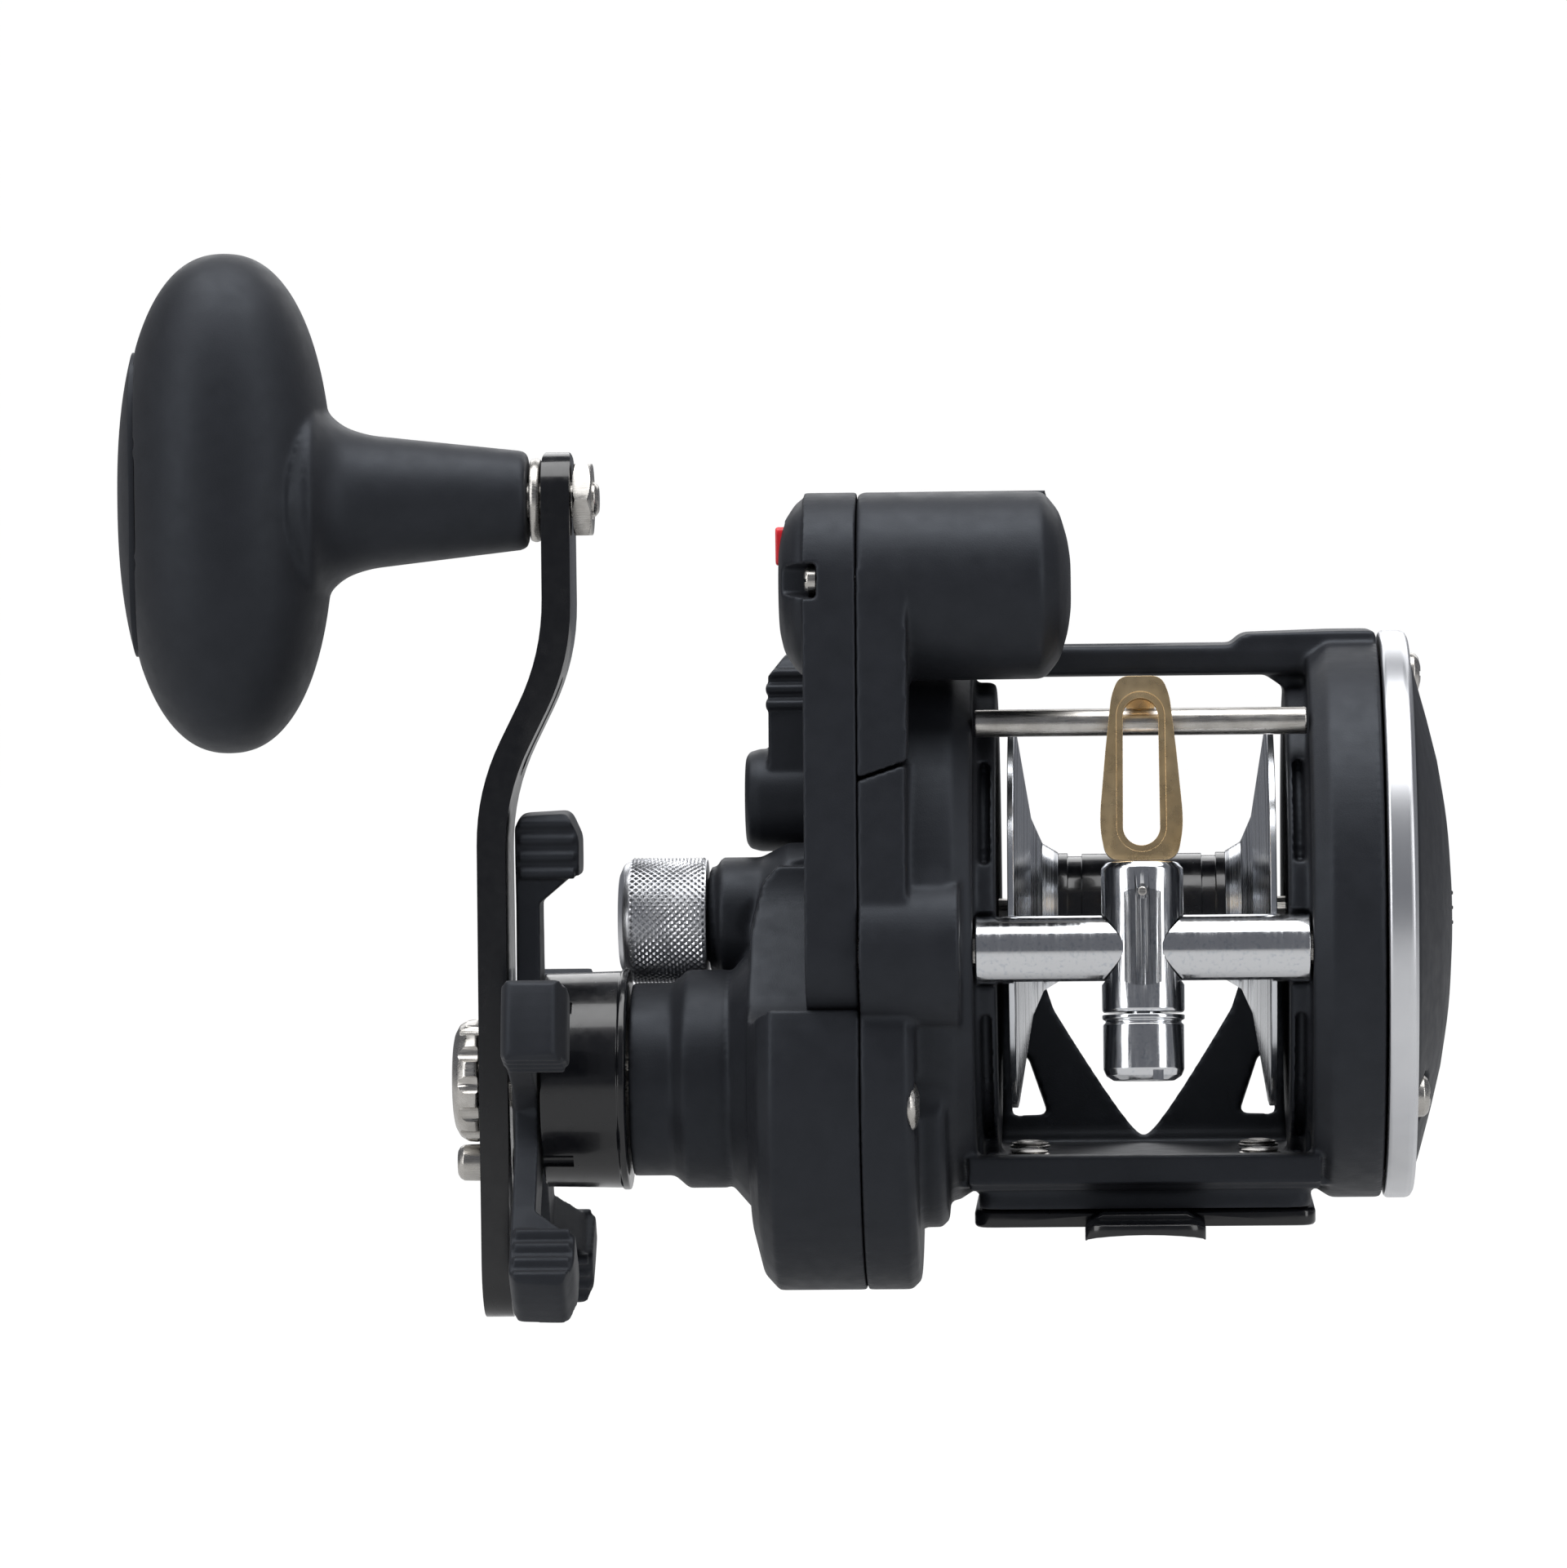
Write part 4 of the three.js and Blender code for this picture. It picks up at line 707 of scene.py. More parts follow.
def build_carriage():
    y = WORM[0]
    barrel = upright([(-10.4, 4.9), (-10.1, 5.1), (7.4, 5.1), (8.2, 4.5)], 0, y, FINE)
    front = facing([(y - 9, 6.0), (y - 4.55, 6.0)], 0, -1.2, FINE, 0)
    oval = common(front, block((-3.9, 3.9), (-60, 60), (-9.4, 7)))
    barrel = cut(barrel, oval, rod(-7, 7, 4.5, WORM, FINE), upright([(-40, 2.4), (WORM[1] - 3, 2.4)], 0, y),
                 facing([(y - 8, 0.95), (y - 3, 0.95)], 0, 4.4, COARSE, 0))
    ring_hole = facing([(y - 9, 1.0), (y - 3, 1.0)], 0, 4.4, COARSE, 0)
    ring = cut(facing([(y - 4.75, 1.35), (y - 4.2, 1.35)], 0, 4.4, COARSE), ring_hole)
    place(leaned(join(bevel(barrel, 0.15, 2), ring)), "pawl_carriage", MATERIALS["chrome"])

    outside = [(-18.8, 3.8), (-18.2, 4.7), (-17.4, 5.0), (-11.9, 5.0), (-11.7, 4.7), (-11.4, 4.7),
               (-11.2, 5.1), (-10.7, 5.1), (-10.7, 2.1)]
    stem = [(WORM[1] - 4.8, 2.1), (WORM[1] - 4.8, 1.1), (WORM[1] - 2.9, 1.1)]
    cap = upright(outside + stem, 0, y, FINE, 0.12)
    driver_slot = block((-6, 6), (y - 0.6, y + 0.6), (-21, -17.9))
    nick = block((1.1, 2.4), (y - 8, y - 3), (-21, -17.6))
    place(leaned(cut(cap, driver_slot, nick)), "pawl_cap", MATERIALS["chrome"])

    pin = facing([(y - 5.2, 0.45), (y - 5.05, 0.6), (y - 3.3, 0.6)], 0, 4.4, COARSE, 0.05)
    place(leaned(pin), "guide_pin", MATERIALS["steel"])


def build_line_guide():
    """A brass loop that carries the line, with a hook behind the steel rod."""
    y = WORM[0]
    half = [(4.4, 8.5), (5.1, 12.2), (5.1, 14.5), (4.4, 22), (3.6, 29), (2.6, 31.3)]
    loop = prism(rounded(half + [(-x, z) for x, z in half[::-1]], 2.2, 8), "y", y - 1.5, y + 1.5)
    slot = belt(((0, 12.6), 2.3), ((0, 26.4), 2.2))
    flare = prism(belt(((0, 12.6), 3.1), ((0, 26.4), 3.0)), "y", y - 1.6, y - 1.0)
    plate = cut(loop, prism(slot, "y", y - 4, y + 4), flare)
    hook = block((-1.8, 1.8), (y + 1, y + 9.8), (30.0, 31.2))
    tip = block((-1.8, 1.8), (y + 8.4, y + 9.8), (25.6, 30.6))
    guide = bevel(join(plate, hook, tip), 0.4, 4)
    place(leaned(guide), "line_guide", MATERIALS["brass"])


# ---------------------------------------------------------------- spool

def build_spool():
    """Bright dished flanges on a dark arbor."""
    profile = [(10.6, 8.2), (12.6, 9.4), (14.0, 12.6), (15.8, 23.6), (16.0, 24.3), (16.8, 24.3),
               (16.8, 20), (16.3, 19), (16.3, 8), (16.8, 7.4), (16.8, 3.4)]
    flanges = []
    for side in (-1, 1):
        flange = turned([(side * x, r) for x, r in profile], SPOOL, FINE, 0.12)
        flanges.append(cut(flange, rod(-20, 20, 2.8)))
    place(join(*flanges), "spool", SPOOL_ALUMINIUM)
    steps = [(10.6, 8.1), (9.4, 8.1), (9.4, 7.7), (7.6, 7.7), (7.6, 8.0), (1.2, 8.0), (1.2, 7.7), (0, 7.7)]
    profile = [(-x, r) for x, r in steps] + [(x, r) for x, r in steps[::-1][1:]]
    arbor = cut(turned(profile, SPOOL, FINE, 0.1), rod(-20, 20, 2.8))
    place(arbor, "spool_arbor", MATERIALS["gloss_black"], ["spool"])


# ---------------------------------------------------------------- gear side

COVER_FACE = SEAM - 0.07


def build_gear_cover():
    plate = turned([(PLATE_X, RING - 2.6), (-39.2, RING), (COVER_FACE, RING)], SPOOL, FINE)
    gearbox = turned([(GEARBOX_X, GEARBOX - 7.5), (-47.9, GEARBOX - 2.0), (-46.1, GEARBOX),
                      (COVER_FACE, GEARBOX)], MAIN, FINE)
    boss = turned([(-53.9, 7.4), (-53.5, 8.0), (-48.5, 8.0), (-45, 9.8), (-40, 9.8)], SPOOL, FINE)
    boss = cut(boss, diagonal_facet())
    stub = turned([(-60, 4.4), (-59.4, 5), (-55.1, 5), (-55.1, 6.8), (-53.5, 6.8)], SPOOL, FINE, 0.1)
    neck = turned([(-64.5, 12.2), (-59.3, 12.2), (-57.5, 13.8), (-52.5, 13.8), (-52.3, 13.2), (-49.5, 16.4),
                   (-47, 16.4)], MAIN, FINE)
    hollow = cut(join(rod(-39.4, -34, 33, SPOOL, FINE), rod(-46.4, -34, GEARBOX - 2.8, MAIN, FINE),
                      rod(-51.5, -34, 5.8)),
                 prism(train_outline(2.3), "x", -60, -30))
    outer = join(plate, gearbox, boss, stub, neck)
    cover = cut(outer, prism(train_outline(0.3), "x", -60, -30), hollow, rod(-70, -30, 2.9),
                rod(-70, -30, 8.9, MAIN))
    place(soften(cover, VOXEL, 3, 0.3), "gear_cover", MATERIALS["body_plastic"], degrees=60)


def diagonal_facet():
    """A flat that trims the boss under the tension knob at a slant."""
    wedge = block((-60, -40), (-20, -7.6), (-4, 12))
    middle = Matrix.Translation((-50, -7.6, 4))
    wedge.data.transform(middle @ Matrix.Rotation(math.radians(14), 4, "Z") @ middle.inverted())
    return wedge


def build_freespool_lever():
    axis = LEVER
    hub = turned([(-50.7, 5.4), (-50.2, 6.2), (-48.8, 6.6), (-41.9, 6.6)], axis, FINE)
    outline = [shifted(axis, y, z) for y, z in (
        (-5.8, 0), (-4.4, 12), (-3.4, 17.4), (-1.4, 19), (2.8, 18), (4.6, 12), (5.8, 0))]
    arm = prism(rounded(outline, 2), "x", -47.6, -41.9)
    grips = []
    for z in (12.4, 14.4, 16.4):
        grips.append(rod(-47.9, -42, 0.6, shifted(axis, -4.55 + 0.17 * (z - 11.5), z), 16))
    crown = prism([(-48, axis[1] + 15.5), (-48, axis[1] + 20), (-44.4, axis[1] + 20)], "y", 0, 20)
    lever = cut(join(hub, arm, *grips), crown)
    place(soften(lever, SMALL_VOXEL, 4, 0.5), "freespool_lever", MATERIALS["body_plastic"], degrees=60)


def knurled_sleeve(axis, x0, x1, r, teeth, depth):
    """A closed solid whose round wall carries a diamond knurl."""
    around, along = teeth * 6, int((x1 - x0) / (math.pi * r / teeth / 3))

    def wave(turns):
        return abs(2 * (turns % 1.0) - 1)

    verts, faces = [], []
    for step in range(along + 1):
        x = x0 + (x1 - x0) * step / along
        twist = (x - x0) / (2 * math.pi * r / teeth)
        edge = min(1.0, (x - x0) / 0.4, (x1 - x) / 0.4)
        for index in range(around):
            turn = index / around
            height = min(wave(turn * teeth + twist), wave(turn * teeth - twist)) * edge
            radius = r - depth * (1 - height)
            angle = 2 * math.pi * turn
            verts.append((x, axis[0] + radius * math.cos(angle), axis[1] + radius * math.sin(angle)))
    for step in range(along):
        for index in range(around):
            following = (index + 1) % around
            a, b = step * around, (step + 1) * around
            faces.append((a + index, a + following, b + following, b + index))
    faces.append(tuple(range(around)))
    faces.append(tuple(range(along * around, (along + 1) * around)))
    return solid("knurl", verts, faces)


def build_tension_knob():
    x0, x1 = low("tension_knob").x, high("tension_knob").x
    knurl = knurled_sleeve(SPOOL, -65.2, x1, 8.05, 54, 0.34)
    face = turned([(x0, 5.2), (x0 + 0.1, 5.9), (x0 + 0.7, 7.2), (x0 + 1.4, 7.55), (-65.0, 7.6)],
                  SPOOL, FINE, 0.3)
    knob = cut(join(knurl, face), rod(-60.6, -50, 5.3), turned([(x0 - 1, 4.4), (x0 + 0.35, 4.4)], SPOOL))
    place(knob, "tension_knob", MATERIALS["satin_aluminium"], degrees=22)


def build_drag_sleeve():
    sleeve = turned([(-75.5, 13.5), (-70.4, 13.6), (-65.9, 13.7), (-65.7, 13.95), (-64.9, 13.95),
                     (-64.8, 13.2)], MAIN, FINE)
    slots = []
    for index in range(4):
        angle = math.radians(45 + 90 * index)
        spot = shifted(MAIN, 13.4 * math.cos(angle), 13.4 * math.sin(angle))
        slots.append(rod(-76, -71.6, 1.1, spot, COARSE))
    place(cut(sleeve, rod(-80, -60, 3.7, MAIN), *slots), "drag_sleeve", MATERIALS["gloss_black"])


def star_arm(angle):
    """A flat stem that ends in a thick paddle with four soft ridges on each side."""
    def at(radius, aside):
        return shifted(MAIN, radius * math.cos(angle) - aside * math.sin(angle),
                       radius * math.sin(angle) + aside * math.cos(angle))

    stem = prism(rounded([at(7, -7.0), at(12, -4.4), at(27, -3.6), at(27, 3.6), at(12, 4.4), at(7, 7.0)], 3),
                 "x", -78.9, -75.9)
    blade = prism(rounded([at(26.0, -3.9), at(27.2, -4.6), at(34.2, -4.6), at(34.2, 4.6), at(27.2, 4.6),
                           at(26.0, 3.9)], 0.9), "x", -78.9, -70.8)
    foot = prism([at(20.4, -3.7), at(27, -4.4), at(27, 4.4), at(20.4, 3.7)], "x", -78.9, -75.9)
    shoulder = hull_solid([(x, *at(radius, aside)) for aside in (-4.0, 4.0) for x, radius in (
        (-75.9, 22.6), (-70.9, 26.8), (-76.4, 22.6), (-76.4, 28.5), (-70.9, 28.5))])
    ridges = [rod(-78.3, -71.4, 0.75, at(radius, side * 4.35), 16)
              for side in (-1, 1) for radius in (26.4, 28.5, 30.6, 32.7)]
    return join(stem, blade, foot, shoulder, *ridges)


def hull_solid(points):
    work = bmesh.new()
    for point in points:
        work.verts.new(point)
    bmesh.ops.convex_hull(work, input=work.verts)
    loose = [vert for vert in work.verts if not vert.link_faces]
    bmesh.ops.delete(work, geom=loose, context="VERTS")
    mesh = bpy.data.meshes.new("hull")
    work.to_mesh(mesh)
    work.free()
    return link("hull", mesh)


STAR_ARMS = [math.radians(degrees) for degrees in (90, 163, 231, 306, 13)]


def build_star_drag():
    hub = turned([(-79.3, 9.4), (-78.9, 10.6), (-75.9, 11.2)], MAIN, FINE)
    star = cut(join(hub, *[star_arm(angle) for angle in STAR_ARMS]), rod(-90, -60, 3.7, MAIN))
    envelope = turned([(-79.3, 31.6), (-78.2, 33.9), (-72.2, 34.2), (-70.8, 31.2)], MAIN, FINE, 0.8)
    trim = soften(common(star, envelope), SMALL_VOXEL, 3, 0.5)
    place(trim, "star_drag", MATERIALS["soft_black"], degrees=60)


# ---------------------------------------------------------------- handle and knob

def build_handle():
    outer = low("handle_arm").x
    inner, offset = outer + 3.6, 8.5
    y, z = MAIN
    outer_edge = [(outer, z - 31), (outer, z + 37), (outer + offset, z + 54), (outer + offset, z + 80)]
    inner_edge = [(inner + offset, z + 80), (inner + offset, z + 53.2), (inner, z + 36.2), (inner, z - 31)]
    side = rounded(outer_edge + inner_edge, 7, 8)
    bar = prism(side, "y", y - 10, y + 10)
    front = belt(((y, z - 22), 8.0), ((y, z), 8.2), (KNOB, 6.0))
    arm = common(bar, prism(front, "x", -90, -60))
    slot = prism(belt(((y, z + 40.5), 1.9), ((y, z + 49.5), 1.6)), "x", -90, -60)
    arm = cut(arm, rod(-90, -78, 3.7, MAIN), rod(-80, -60, 2.5, KNOB), rod(-90, -78, 1.8, LOCK), slot)
    place(bevel(arm, 0.75, 4), "handle_arm", MATERIALS["gloss_black"], degrees=40)

    face = outer - 0.3
    nut = turned([(-87.2, 5.0), (-87.0, 6.0), (-86.4, 7.1), (-85.4, 7.7), (-84.2, 7.8), (face, 7.6)],
                 MAIN, FINE)
    scallops = []
    for index in range(12):
        angle = math.pi * index / 6
        middle = shifted(MAIN, 8.6 * math.cos(angle), 8.6 * math.sin(angle))
        scallops.append(rod(-90, -80, 1.45, middle, COARSE))
    nut = cut(nut, rod(-85.6, -80, 3.7, MAIN), turned([(-88, 3.4), (-86.8, 3.1)], MAIN), *scallops)
    place(bevel(nut, 0.18, 2), "handle_nut", MATERIALS["steel"])
    screw = turned([(-86.9, 1.5), (-86.6, 2.0), (-86.1, 2.3), (face, 2.35), (face, 1.5), (inner - 0.4, 1.5)],
                   LOCK, COARSE, 0.1)
    hexagon = prism(circle(LOCK, 1.1, 6), "x", -88, -86.0)
    place(cut(screw, hexagon), "handle_lock_screw", MATERIALS["steel"])


KNOB_X = -115.2
KNOB_HALF = Vector((13.5, 16.0, 31.6))
KNOB_ROUNDNESS = 2.3


def egg(grow, around=96, along=64):
    """A rounded, squarish ellipsoid."""
    verts, faces = [], []
    half = KNOB_HALF + Vector((grow, grow, grow))
    for row in range(along + 1):
        lift = math.pi * row / along - math.pi / 2
        for index in range(around):
            turn = 2 * math.pi * index / around
            across, up = math.cos(lift), math.sin(lift)
            size = (abs(across) ** KNOB_ROUNDNESS + abs(up) ** KNOB_ROUNDNESS) ** (1 / KNOB_ROUNDNESS)
            verts.append((KNOB_X + half.x * across * math.cos(turn) / size,
                          KNOB[0] + half.y * across * math.sin(turn) / size, KNOB[1] + half.z * up / size))
    for row in range(along):
        for index in range(around):
            following = (index + 1) % around
            a, b = row * around, (row + 1) * around
            faces.append((a + index, a + following, b + following, b + index))
    return solid("egg", verts, faces)


def oval(half_y, half_z):
    return [(KNOB[0] + half_y * y, KNOB[1] + half_z * z) for y, z in circle((0, 0), 1, FINE)]


def build_knob():
    stem = turned([(KNOB_X, 8), (-103.7, 13.6), (-102.0, 11.0), (-100.0, 9.4), (-97.0, 8.45), (-90, 7.65),
                   (-77.5, 6.25), (-76.9, 5.7)], KNOB, FINE, 1.2)
    cap_x = high("knob_cap").x
    recess = prism(oval(9.6, 19.6), "x", KNOB_X - 20, cap_x + 0.3)
    body = cut(join(egg(0), stem), recess, rod(-121, -70, 2.5, KNOB))
    body = soften(body, VOXEL, 8, 0.4)
    body = cut(body, prism(oval(9.5, 19.5), "x", KNOB_X - 20, cap_x + 1.5))
    place(body, "knob", MATERIALS["soft_black"], degrees=50)
    cap = common(egg(0.3), prism(oval(9.25, 19.25), "x", KNOB_X - 20, cap_x))
    place(bevel(cap, 0.3, 3, 50), "knob_cap", MATERIALS["soft_black"], degrees=30)

    axle = turned([(-120.4, 2.2), (-68.5, 2.2), (high("knob_axle").x, 1.6)], KNOB, COARSE, 0.2)
    place(axle, "knob_axle", MATERIALS["steel"])
    washer = cut(turned([(-76.6, 5.1), (-76.1, 5.3), (-75.8, 5.3), (-75.3, 5.1)], KNOB, FINE, 0.15),
                 rod(-80, -70, 2.5, KNOB))
    place(washer, "knob_washer", MATERIALS["steel"])
    x0, x1 = low("knob_nut").x, high("knob_nut").x
    hexagon = prism(circle(KNOB, 5.2, 6), "x", x0, x1)
    cone = turned([(x0, 4.6), (x0 + 0.4, 5.3), (x1 - 0.5, 5.3), (x1, 4.4)], KNOB, FINE, 0)
    place(bevel(cut(common(hexagon, cone), rod(-72, -66, 2.5, KNOB)), 0.1, 2), "knob_nut", MATERIALS["steel"])


# ---------------------------------------------------------------- line counter

def window_block(r0, r1, half, x0, x1):
    """A block across the counter's barrel, where its number window is."""
    angle = math.radians(52)
    corners = [(r0, -half), (r1, -half), (r1, half), (r0, half)]
    c, s = math.cos(angle), math.sin(angle)
    outline = [shifted(COUNTER, u * c - v * s, u * s + v * c) for u, v in corners]
    return prism(outline, "x", x0, x1)


def build_counter():
    end = high("counter_housing").x
    barrel = turned([(SEAM, COUNTER_RADIUS), (end - 3.4, COUNTER_RADIUS - 0.1),
                     (end - 1.4, COUNTER_RADIUS - 2.6), (end - 0.4, COUNTER_RADIUS - 6), (end, 3)],
                    COUNTER, FINE, 0.9)
    leg = cut(common(prism(train_outline(), "x", SEAM, -28.8), block((-40, -20), (-60, 30), (10, 45))),
              rod(-50, 0, RING + 0.3, SPOOL, FINE), below_leg(0.4))
    rim = window_block(11.0, 12.3, 5.0, -30.8, -11.4)
    body = cut(join(barrel, leg, common(rim, rod(SEAM, end, COUNTER_RADIUS + 0.35, COUNTER, FINE))),
               rod(SEAM - 1, end - 2.6, 10.3, COUNTER), window_block(8, 16, 4, -29.8, -12.4))
    place(soften(body, VOXEL, 3, 0.35), "counter_housing", MATERIALS["body_plastic"], degrees=60)
    pane = common(window_block(10.1, 11.5, 3.7, -29.5, -12.7), rod(-30, -12, 11.2, COUNTER, FINE))
    place(bevel(pane, 0.15, 2), "counter_window", MATERIALS["lens"])


def build_counter_drive_cover():
    strip = prism(train_outline(), "x", PLATE_X - 0.1, COVER_FACE)
    dome = turned([(-44.8, 5.6), (-44.2, 8.2), (-42.6, 10.6), (-40.6, COUNTER_RADIUS),
                   (COVER_FACE, COUNTER_RADIUS)], COUNTER, FINE, 0.8)
    hollow = join(prism(train_outline(-1.4), "x", -40.6, -34), rod(-43, -34, 7.3, COUNTER))
    posts = [rod(-41.2, -37.6, 1.5, axis, COARSE) for axis in (LOWER_IDLER, UPPER_IDLER)]
    around_screw = [shifted(COUNTER_SCREW, *at) for at in ((-4, -2.6), (1.9, -1.6), (1.9, 1.6), (-4, 2.6))]
    notch = prism(rounded(around_screw, 0.6), "x", -50, -39.9)
    around_button = [shifted(BUTTON, *at) for at in ((-2.9, -2.7), (2.9, -2.7), (2.9, 2.7), (-2.9, 2.7))]
    hole = prism(rounded(around_button, 0.8), "x", -50, -40)
    body = cut(join(cut(join(strip, dome), hollow), *posts), notch, hole, rod(-50, -39.6, 1.9, COUNTER_SCREW))
    place(soften(body, SMALL_VOXEL, 3, 0.35), "counter_drive_cover", MATERIALS["body_plastic"], degrees=60)

    corners = [(-2.6, -2.4), (2.6, -2.4), (2.6, 2.4), (-2.6, 2.4)]
    outline = rounded([shifted(BUTTON, y, z) for y, z in corners], 0.9)
    button = prism(outline, "x", low("reset_button").x, high("reset_button").x)
    place(bevel(button, 0.3, 4), "reset_button", MATERIALS["red_button"])


def build_number_wheels():
    """Each wheel carries the ten digits round its rim."""
    for name in ("units_wheel", "tens_wheel", "hundreds_wheel"):
        x0, x1 = low(name).x, high(name).x
        wheel = cut(turned([(x0, 8.3), (x0 + 0.3, 8.6), (x1 - 0.3, 8.6), (x1, 8.3)], COUNTER, FINE, 0.1),
                    rod(x0 - 1, x1 + 1, 1.7, COUNTER))
        place(wheel, name, MATERIALS["gear_white"])
        for digit in range(10):
            add_digit(name, digit, (x0 + x1) / 2)


def add_digit(wheel, digit, x):
    """A raised digit on a number wheel, upright when it is behind the window."""
    text = bpy.data.curves.new("digit", "FONT")
    text.body = str(digit)
    text.size = 4.6
    text.extrude = 0.06
    text.align_x = "CENTER"
    text.align_y = "CENTER"
    text.resolution_u = 3
    curve = link("digit", text)
    graph = bpy.context.evaluated_depsgraph_get()
    mesh = bpy.data.meshes.new_from_object(curve.evaluated_get(graph))
    bpy.data.objects.remove(curve)
    angle = math.radians(52 + 36 * digit)
    c, s = math.cos(angle), math.sin(angle)
    facing_out = Matrix(((-1, 0, 0, x), (0, -s, c, COUNTER[0] + 8.6 * c),
                         (0, c, s, COUNTER[1] + 8.6 * s), (0, 0, 0, 1)))
    mesh.transform(facing_out)
    piece = link("digit", mesh)
    place(piece, f"{wheel}_digit_{digit}", DIGIT_INK, [wheel])


# ---------------------------------------------------------------- palm side

PALM_SCREWS = {f"palm_screw_{index}": axis_of(f"palm_screw_{index}") for index in (1, 2, 3)}


def build_palm_side():
    start = low("palm_trim_ring").x
    trim = turned([(start, 35.8), (start + 0.4, 36.1), (33.0, 36.1), (33.6, 35.9), (34, 35.2), (34, 34.3),
                   (33.8, 33.6)], SPOOL, 192, 0.25)
    place(cut(trim, rod(20, 40, 33.6, SPOOL, 192)), "palm_trim_ring", MATERIALS["satin_aluminium"])
    dome = turned([(start, 33.3), (34.0, 33.3), (34.9, 30.2), (36.3, 25.1), (37.6, 19.8), (38.8, 12.6),
                   (39.3, 5)], SPOOL, FINE, 3.0)
    hollow = turned([(start - 1, 30.8), (33.0, 30.8), (35.9, 19), (37.0, 6)], SPOOL, FINE)
    bosses = []
    for axis in PALM_SCREWS.values():
        bosses.append(common(rod(start + 0.2, 34, 3.8, axis), rod(20, 50, 32.6, SPOOL, FINE)))
    pockets = [rod(33.6, 42, 3.1, axis) for axis in PALM_SCREWS.values()]
    holes = [rod(20, 40, 1.4, axis) for axis in PALM_SCREWS.values()]
    slot = prism(rounded([(13.4, -6.4), (20.6, -6.4), (20.6, 6.4), (13.4, 6.4)], 1.5), "x", 30, 50)
    well = prism(rounded([(12, -8.4), (22, -8.4), (22, 8.4), (12, 8.4)], 3), "x", 36.4, 50)
    cap = cut(join(cut(dome, hollow), *bosses), *pockets, *holes, slot, well)
    place(soften(cap, VOXEL, 3, 0.35), "palm_cap", MATERIALS["body_plastic"], degrees=60)
    for name, axis in PALM_SCREWS.items():
        screw = turned([(31, 0.9), (31.2, 1.0), (33.9, 1.0), (33.9, 2.7), (34.9, 2.6), (35.4, 2.1),
                        (35.7, 1.0)], axis, COARSE, 0.15)
        bars = [block((34.9, 37), (axis[0] - half_y, axis[0] + half_y), (axis[1] - half_z, axis[1] + half_z))
                for half_y, half_z in ((1.5, 0.3), (0.3, 1.5))]
        place(cut(screw, join(*bars)), name, MATERIALS["steel"])
    body = prism(rounded([(13.8, -3), (20.2, -3), (20.2, 3), (13.8, 3)], 0.8), "x", 33.6, 38.4)
    ridges = []
    for z in (-1.9, 0, 1.9):
        outline = [(36.5, z - 0.7), (40.2, z - 0.25), (40.2, z + 0.25), (36.5, z + 0.7)]
        ridges.append(prism(rounded(outline, 0.2), "y", 14.2, 19.8))
    place(bevel(join(body, *ridges), 0.15, 2), "clicker_button", MATERIALS["gloss_black"])


def build_cover_screws():
    x0, x1 = low("cover_screw").x, high("cover_screw").x
    screw = turned([(x0, 1.3), (-29.6, 1.3), (-29.6, 3.2), (-28.9, 3.2), (-28.2, 2.7), (x1, 1.4)],
                   COVER_SCREW, COARSE, 0.3)
    place(screw, "cover_screw", MATERIALS["steel"])
    x0, x1 = low("counter_screw").x, high("counter_screw").x
    screw = turned([(x0, 0.9), (x0 + 0.15, 1.4), (x0 + 0.5, 1.6), (x1, 1.6)], COUNTER_SCREW, COARSE, 0.1)
    slot = block((x0 - 1, x0 + 0.35), (COUNTER_SCREW[0] - 2, COUNTER_SCREW[0] + 2),
                 (COUNTER_SCREW[1] - 0.2, COUNTER_SCREW[1] + 0.2))
    place(cut(screw, slot), "counter_screw", MATERIALS["steel"])


# ---------------------------------------------------------------- camera, light and floor

CAMERA_DISTANCE = 1.015
CAMERA_TARGET = Vector((-0.04524, -0.008, 0.0552))
CAMERA_YAW = math.radians(-2.43)
CAMERA_PITCH = math.radians(2.0)
CAMERA_ROLL = math.radians(-0.66)
LENS = 183.85


def make_camera():
    data = bpy.data.cameras.new("camera")
    data.lens = LENS
    data.sensor_width = 36.0
    data.clip_start = 0.05
    data.clip_end = 20.0
    forward = Vector((math.sin(CAMERA_YAW) * math.cos(CAMERA_PITCH),
                      math.cos(CAMERA_YAW) * math.cos(CAMERA_PITCH),
                      -math.sin(CAMERA_PITCH)))
    right = Vector((math.cos(CAMERA_YAW), -math.sin(CAMERA_YAW), 0.0))
    up = right.cross(forward)
    turned_right = math.cos(CAMERA_ROLL) * right + math.sin(CAMERA_ROLL) * up
    turned_up = -math.sin(CAMERA_ROLL) * right + math.cos(CAMERA_ROLL) * up
    camera = bpy.data.objects.new("camera", data)
    axes = Matrix((turned_right, turned_up, -forward)).transposed().to_4x4()
    camera.matrix_world = Matrix.Translation(CAMERA_TARGET - forward * CAMERA_DISTANCE) @ axes
    bpy.context.scene.collection.objects.link(camera)
    bpy.context.scene.camera = camera


def soft_light(name, place_m, width, height, power):
    """A rectangular soft box that faces the reel."""
    data = bpy.data.lights.new(name, "AREA")
    data.shape = "RECTANGLE"
    data.size = width
    data.size_y = height
    data.energy = power
    lamp = bpy.data.objects.new(name, data)
    lamp.location = place_m
    lamp.rotation_euler = (CAMERA_TARGET - Vector(place_m)).to_track_quat("-Z", "Y").to_euler()
    bpy.context.scene.collection.objects.link(lamp)


def make_lights():
    soft_light("overhead", (-0.05, -0.12, 0.9), 1.3, 0.7, 11.0)
    soft_light("front_left", (-0.85, -0.6, 0.35), 0.35, 0.9, 3.0)
    soft_light("front_right", (0.85, -0.6, 0.3), 0.35, 0.9, 2.5)
    soft_light("rear", (0.0, 0.9, 0.6), 1.2, 0.6, 4.0)


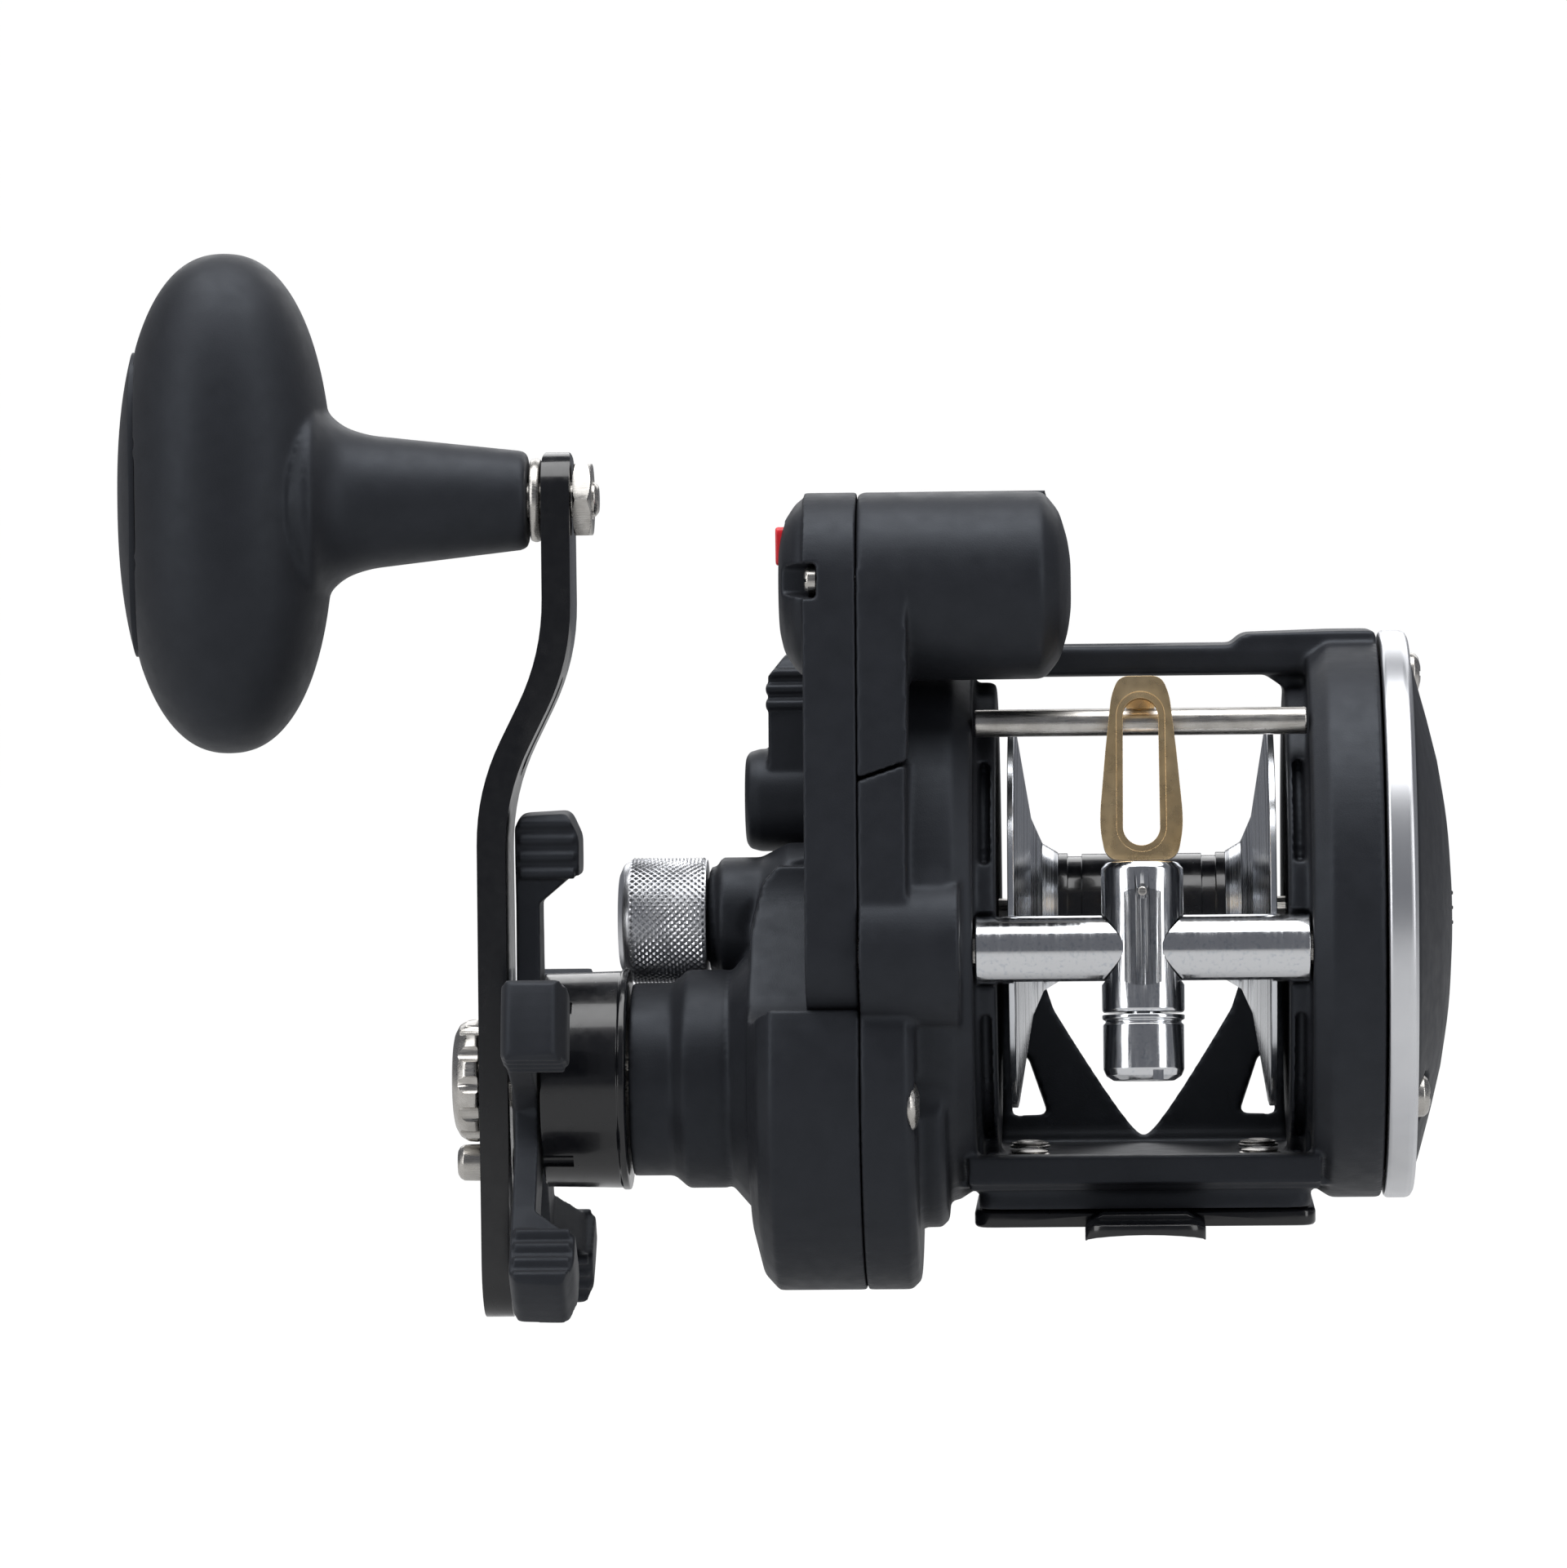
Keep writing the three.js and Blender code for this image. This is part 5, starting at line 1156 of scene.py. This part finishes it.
def emissive(name, strength, base):
    material = bpy.data.materials.new(name)
    material.use_nodes = True
    shader = material.node_tree.nodes["Principled BSDF"]
    shader.inputs["Base Color"].default_value = (base, base, base, 1)
    shader.inputs["Roughness"].default_value = 0.9
    shader.inputs["Emission Color"].default_value = (1, 1, 1, 1)
    shader.inputs["Emission Strength"].default_value = strength
    return material


FLOOR_Z = -0.045
STAGE_RADIUS = 3.0


def disc(name, z, material):
    rim = [(STAGE_RADIUS * x, STAGE_RADIUS * y) for x, y in circle((0, 0), 1, MEDIUM)]
    floor = solid(name, [(x, y, z) for x, y in rim], [tuple(range(len(rim)))])
    floor.data.materials.append(material)
    return floor


def make_stage():
    """A white floor below the reel and a white dome that only the camera sees."""
    floor = disc("floor", FLOOR_Z, emissive("floor_white", 1.0, 0.0))
    bounce = disc("floor_bounce", FLOOR_Z - 0.001, emissive("bounce_white", 0.25, 0.3))
    bounce.visible_camera = False
    work = bmesh.new()
    bmesh.ops.create_uvsphere(work, u_segments=MEDIUM, v_segments=COARSE, radius=STAGE_RADIUS)
    mesh = bpy.data.meshes.new("backdrop")
    work.to_mesh(mesh)
    work.free()
    backdrop = link("backdrop", mesh)
    backdrop.data.materials.append(emissive("backdrop_white", 1.0, 0.0))
    for unlit in (floor, backdrop):
        unlit.visible_diffuse = False
        unlit.visible_glossy = False
        unlit.visible_transmission = False
        unlit.visible_shadow = False
    world = bpy.data.worlds.new("world")
    world.use_nodes = True
    world.node_tree.nodes["Background"].inputs["Color"].default_value = (0.14, 0.145, 0.16, 1)
    bpy.context.scene.world = world
    bpy.context.scene.view_settings.view_transform = "Standard"


# ---------------------------------------------------------------- assembly

SPOOL_ALUMINIUM = spool_aluminium()
DIGIT_INK = digit_ink()

make_camera()
make_lights()
make_stage()
finish_inner_parts()
build_frame()
build_foot()
build_level_wind_rods()
build_carriage()
build_line_guide()
build_spool()
build_gear_cover()
build_freespool_lever()
build_tension_knob()
build_drag_sleeve()
build_star_drag()
build_handle()
build_knob()
build_counter()
build_counter_drive_cover()
build_number_wheels()
build_palm_side()
build_cover_screws()
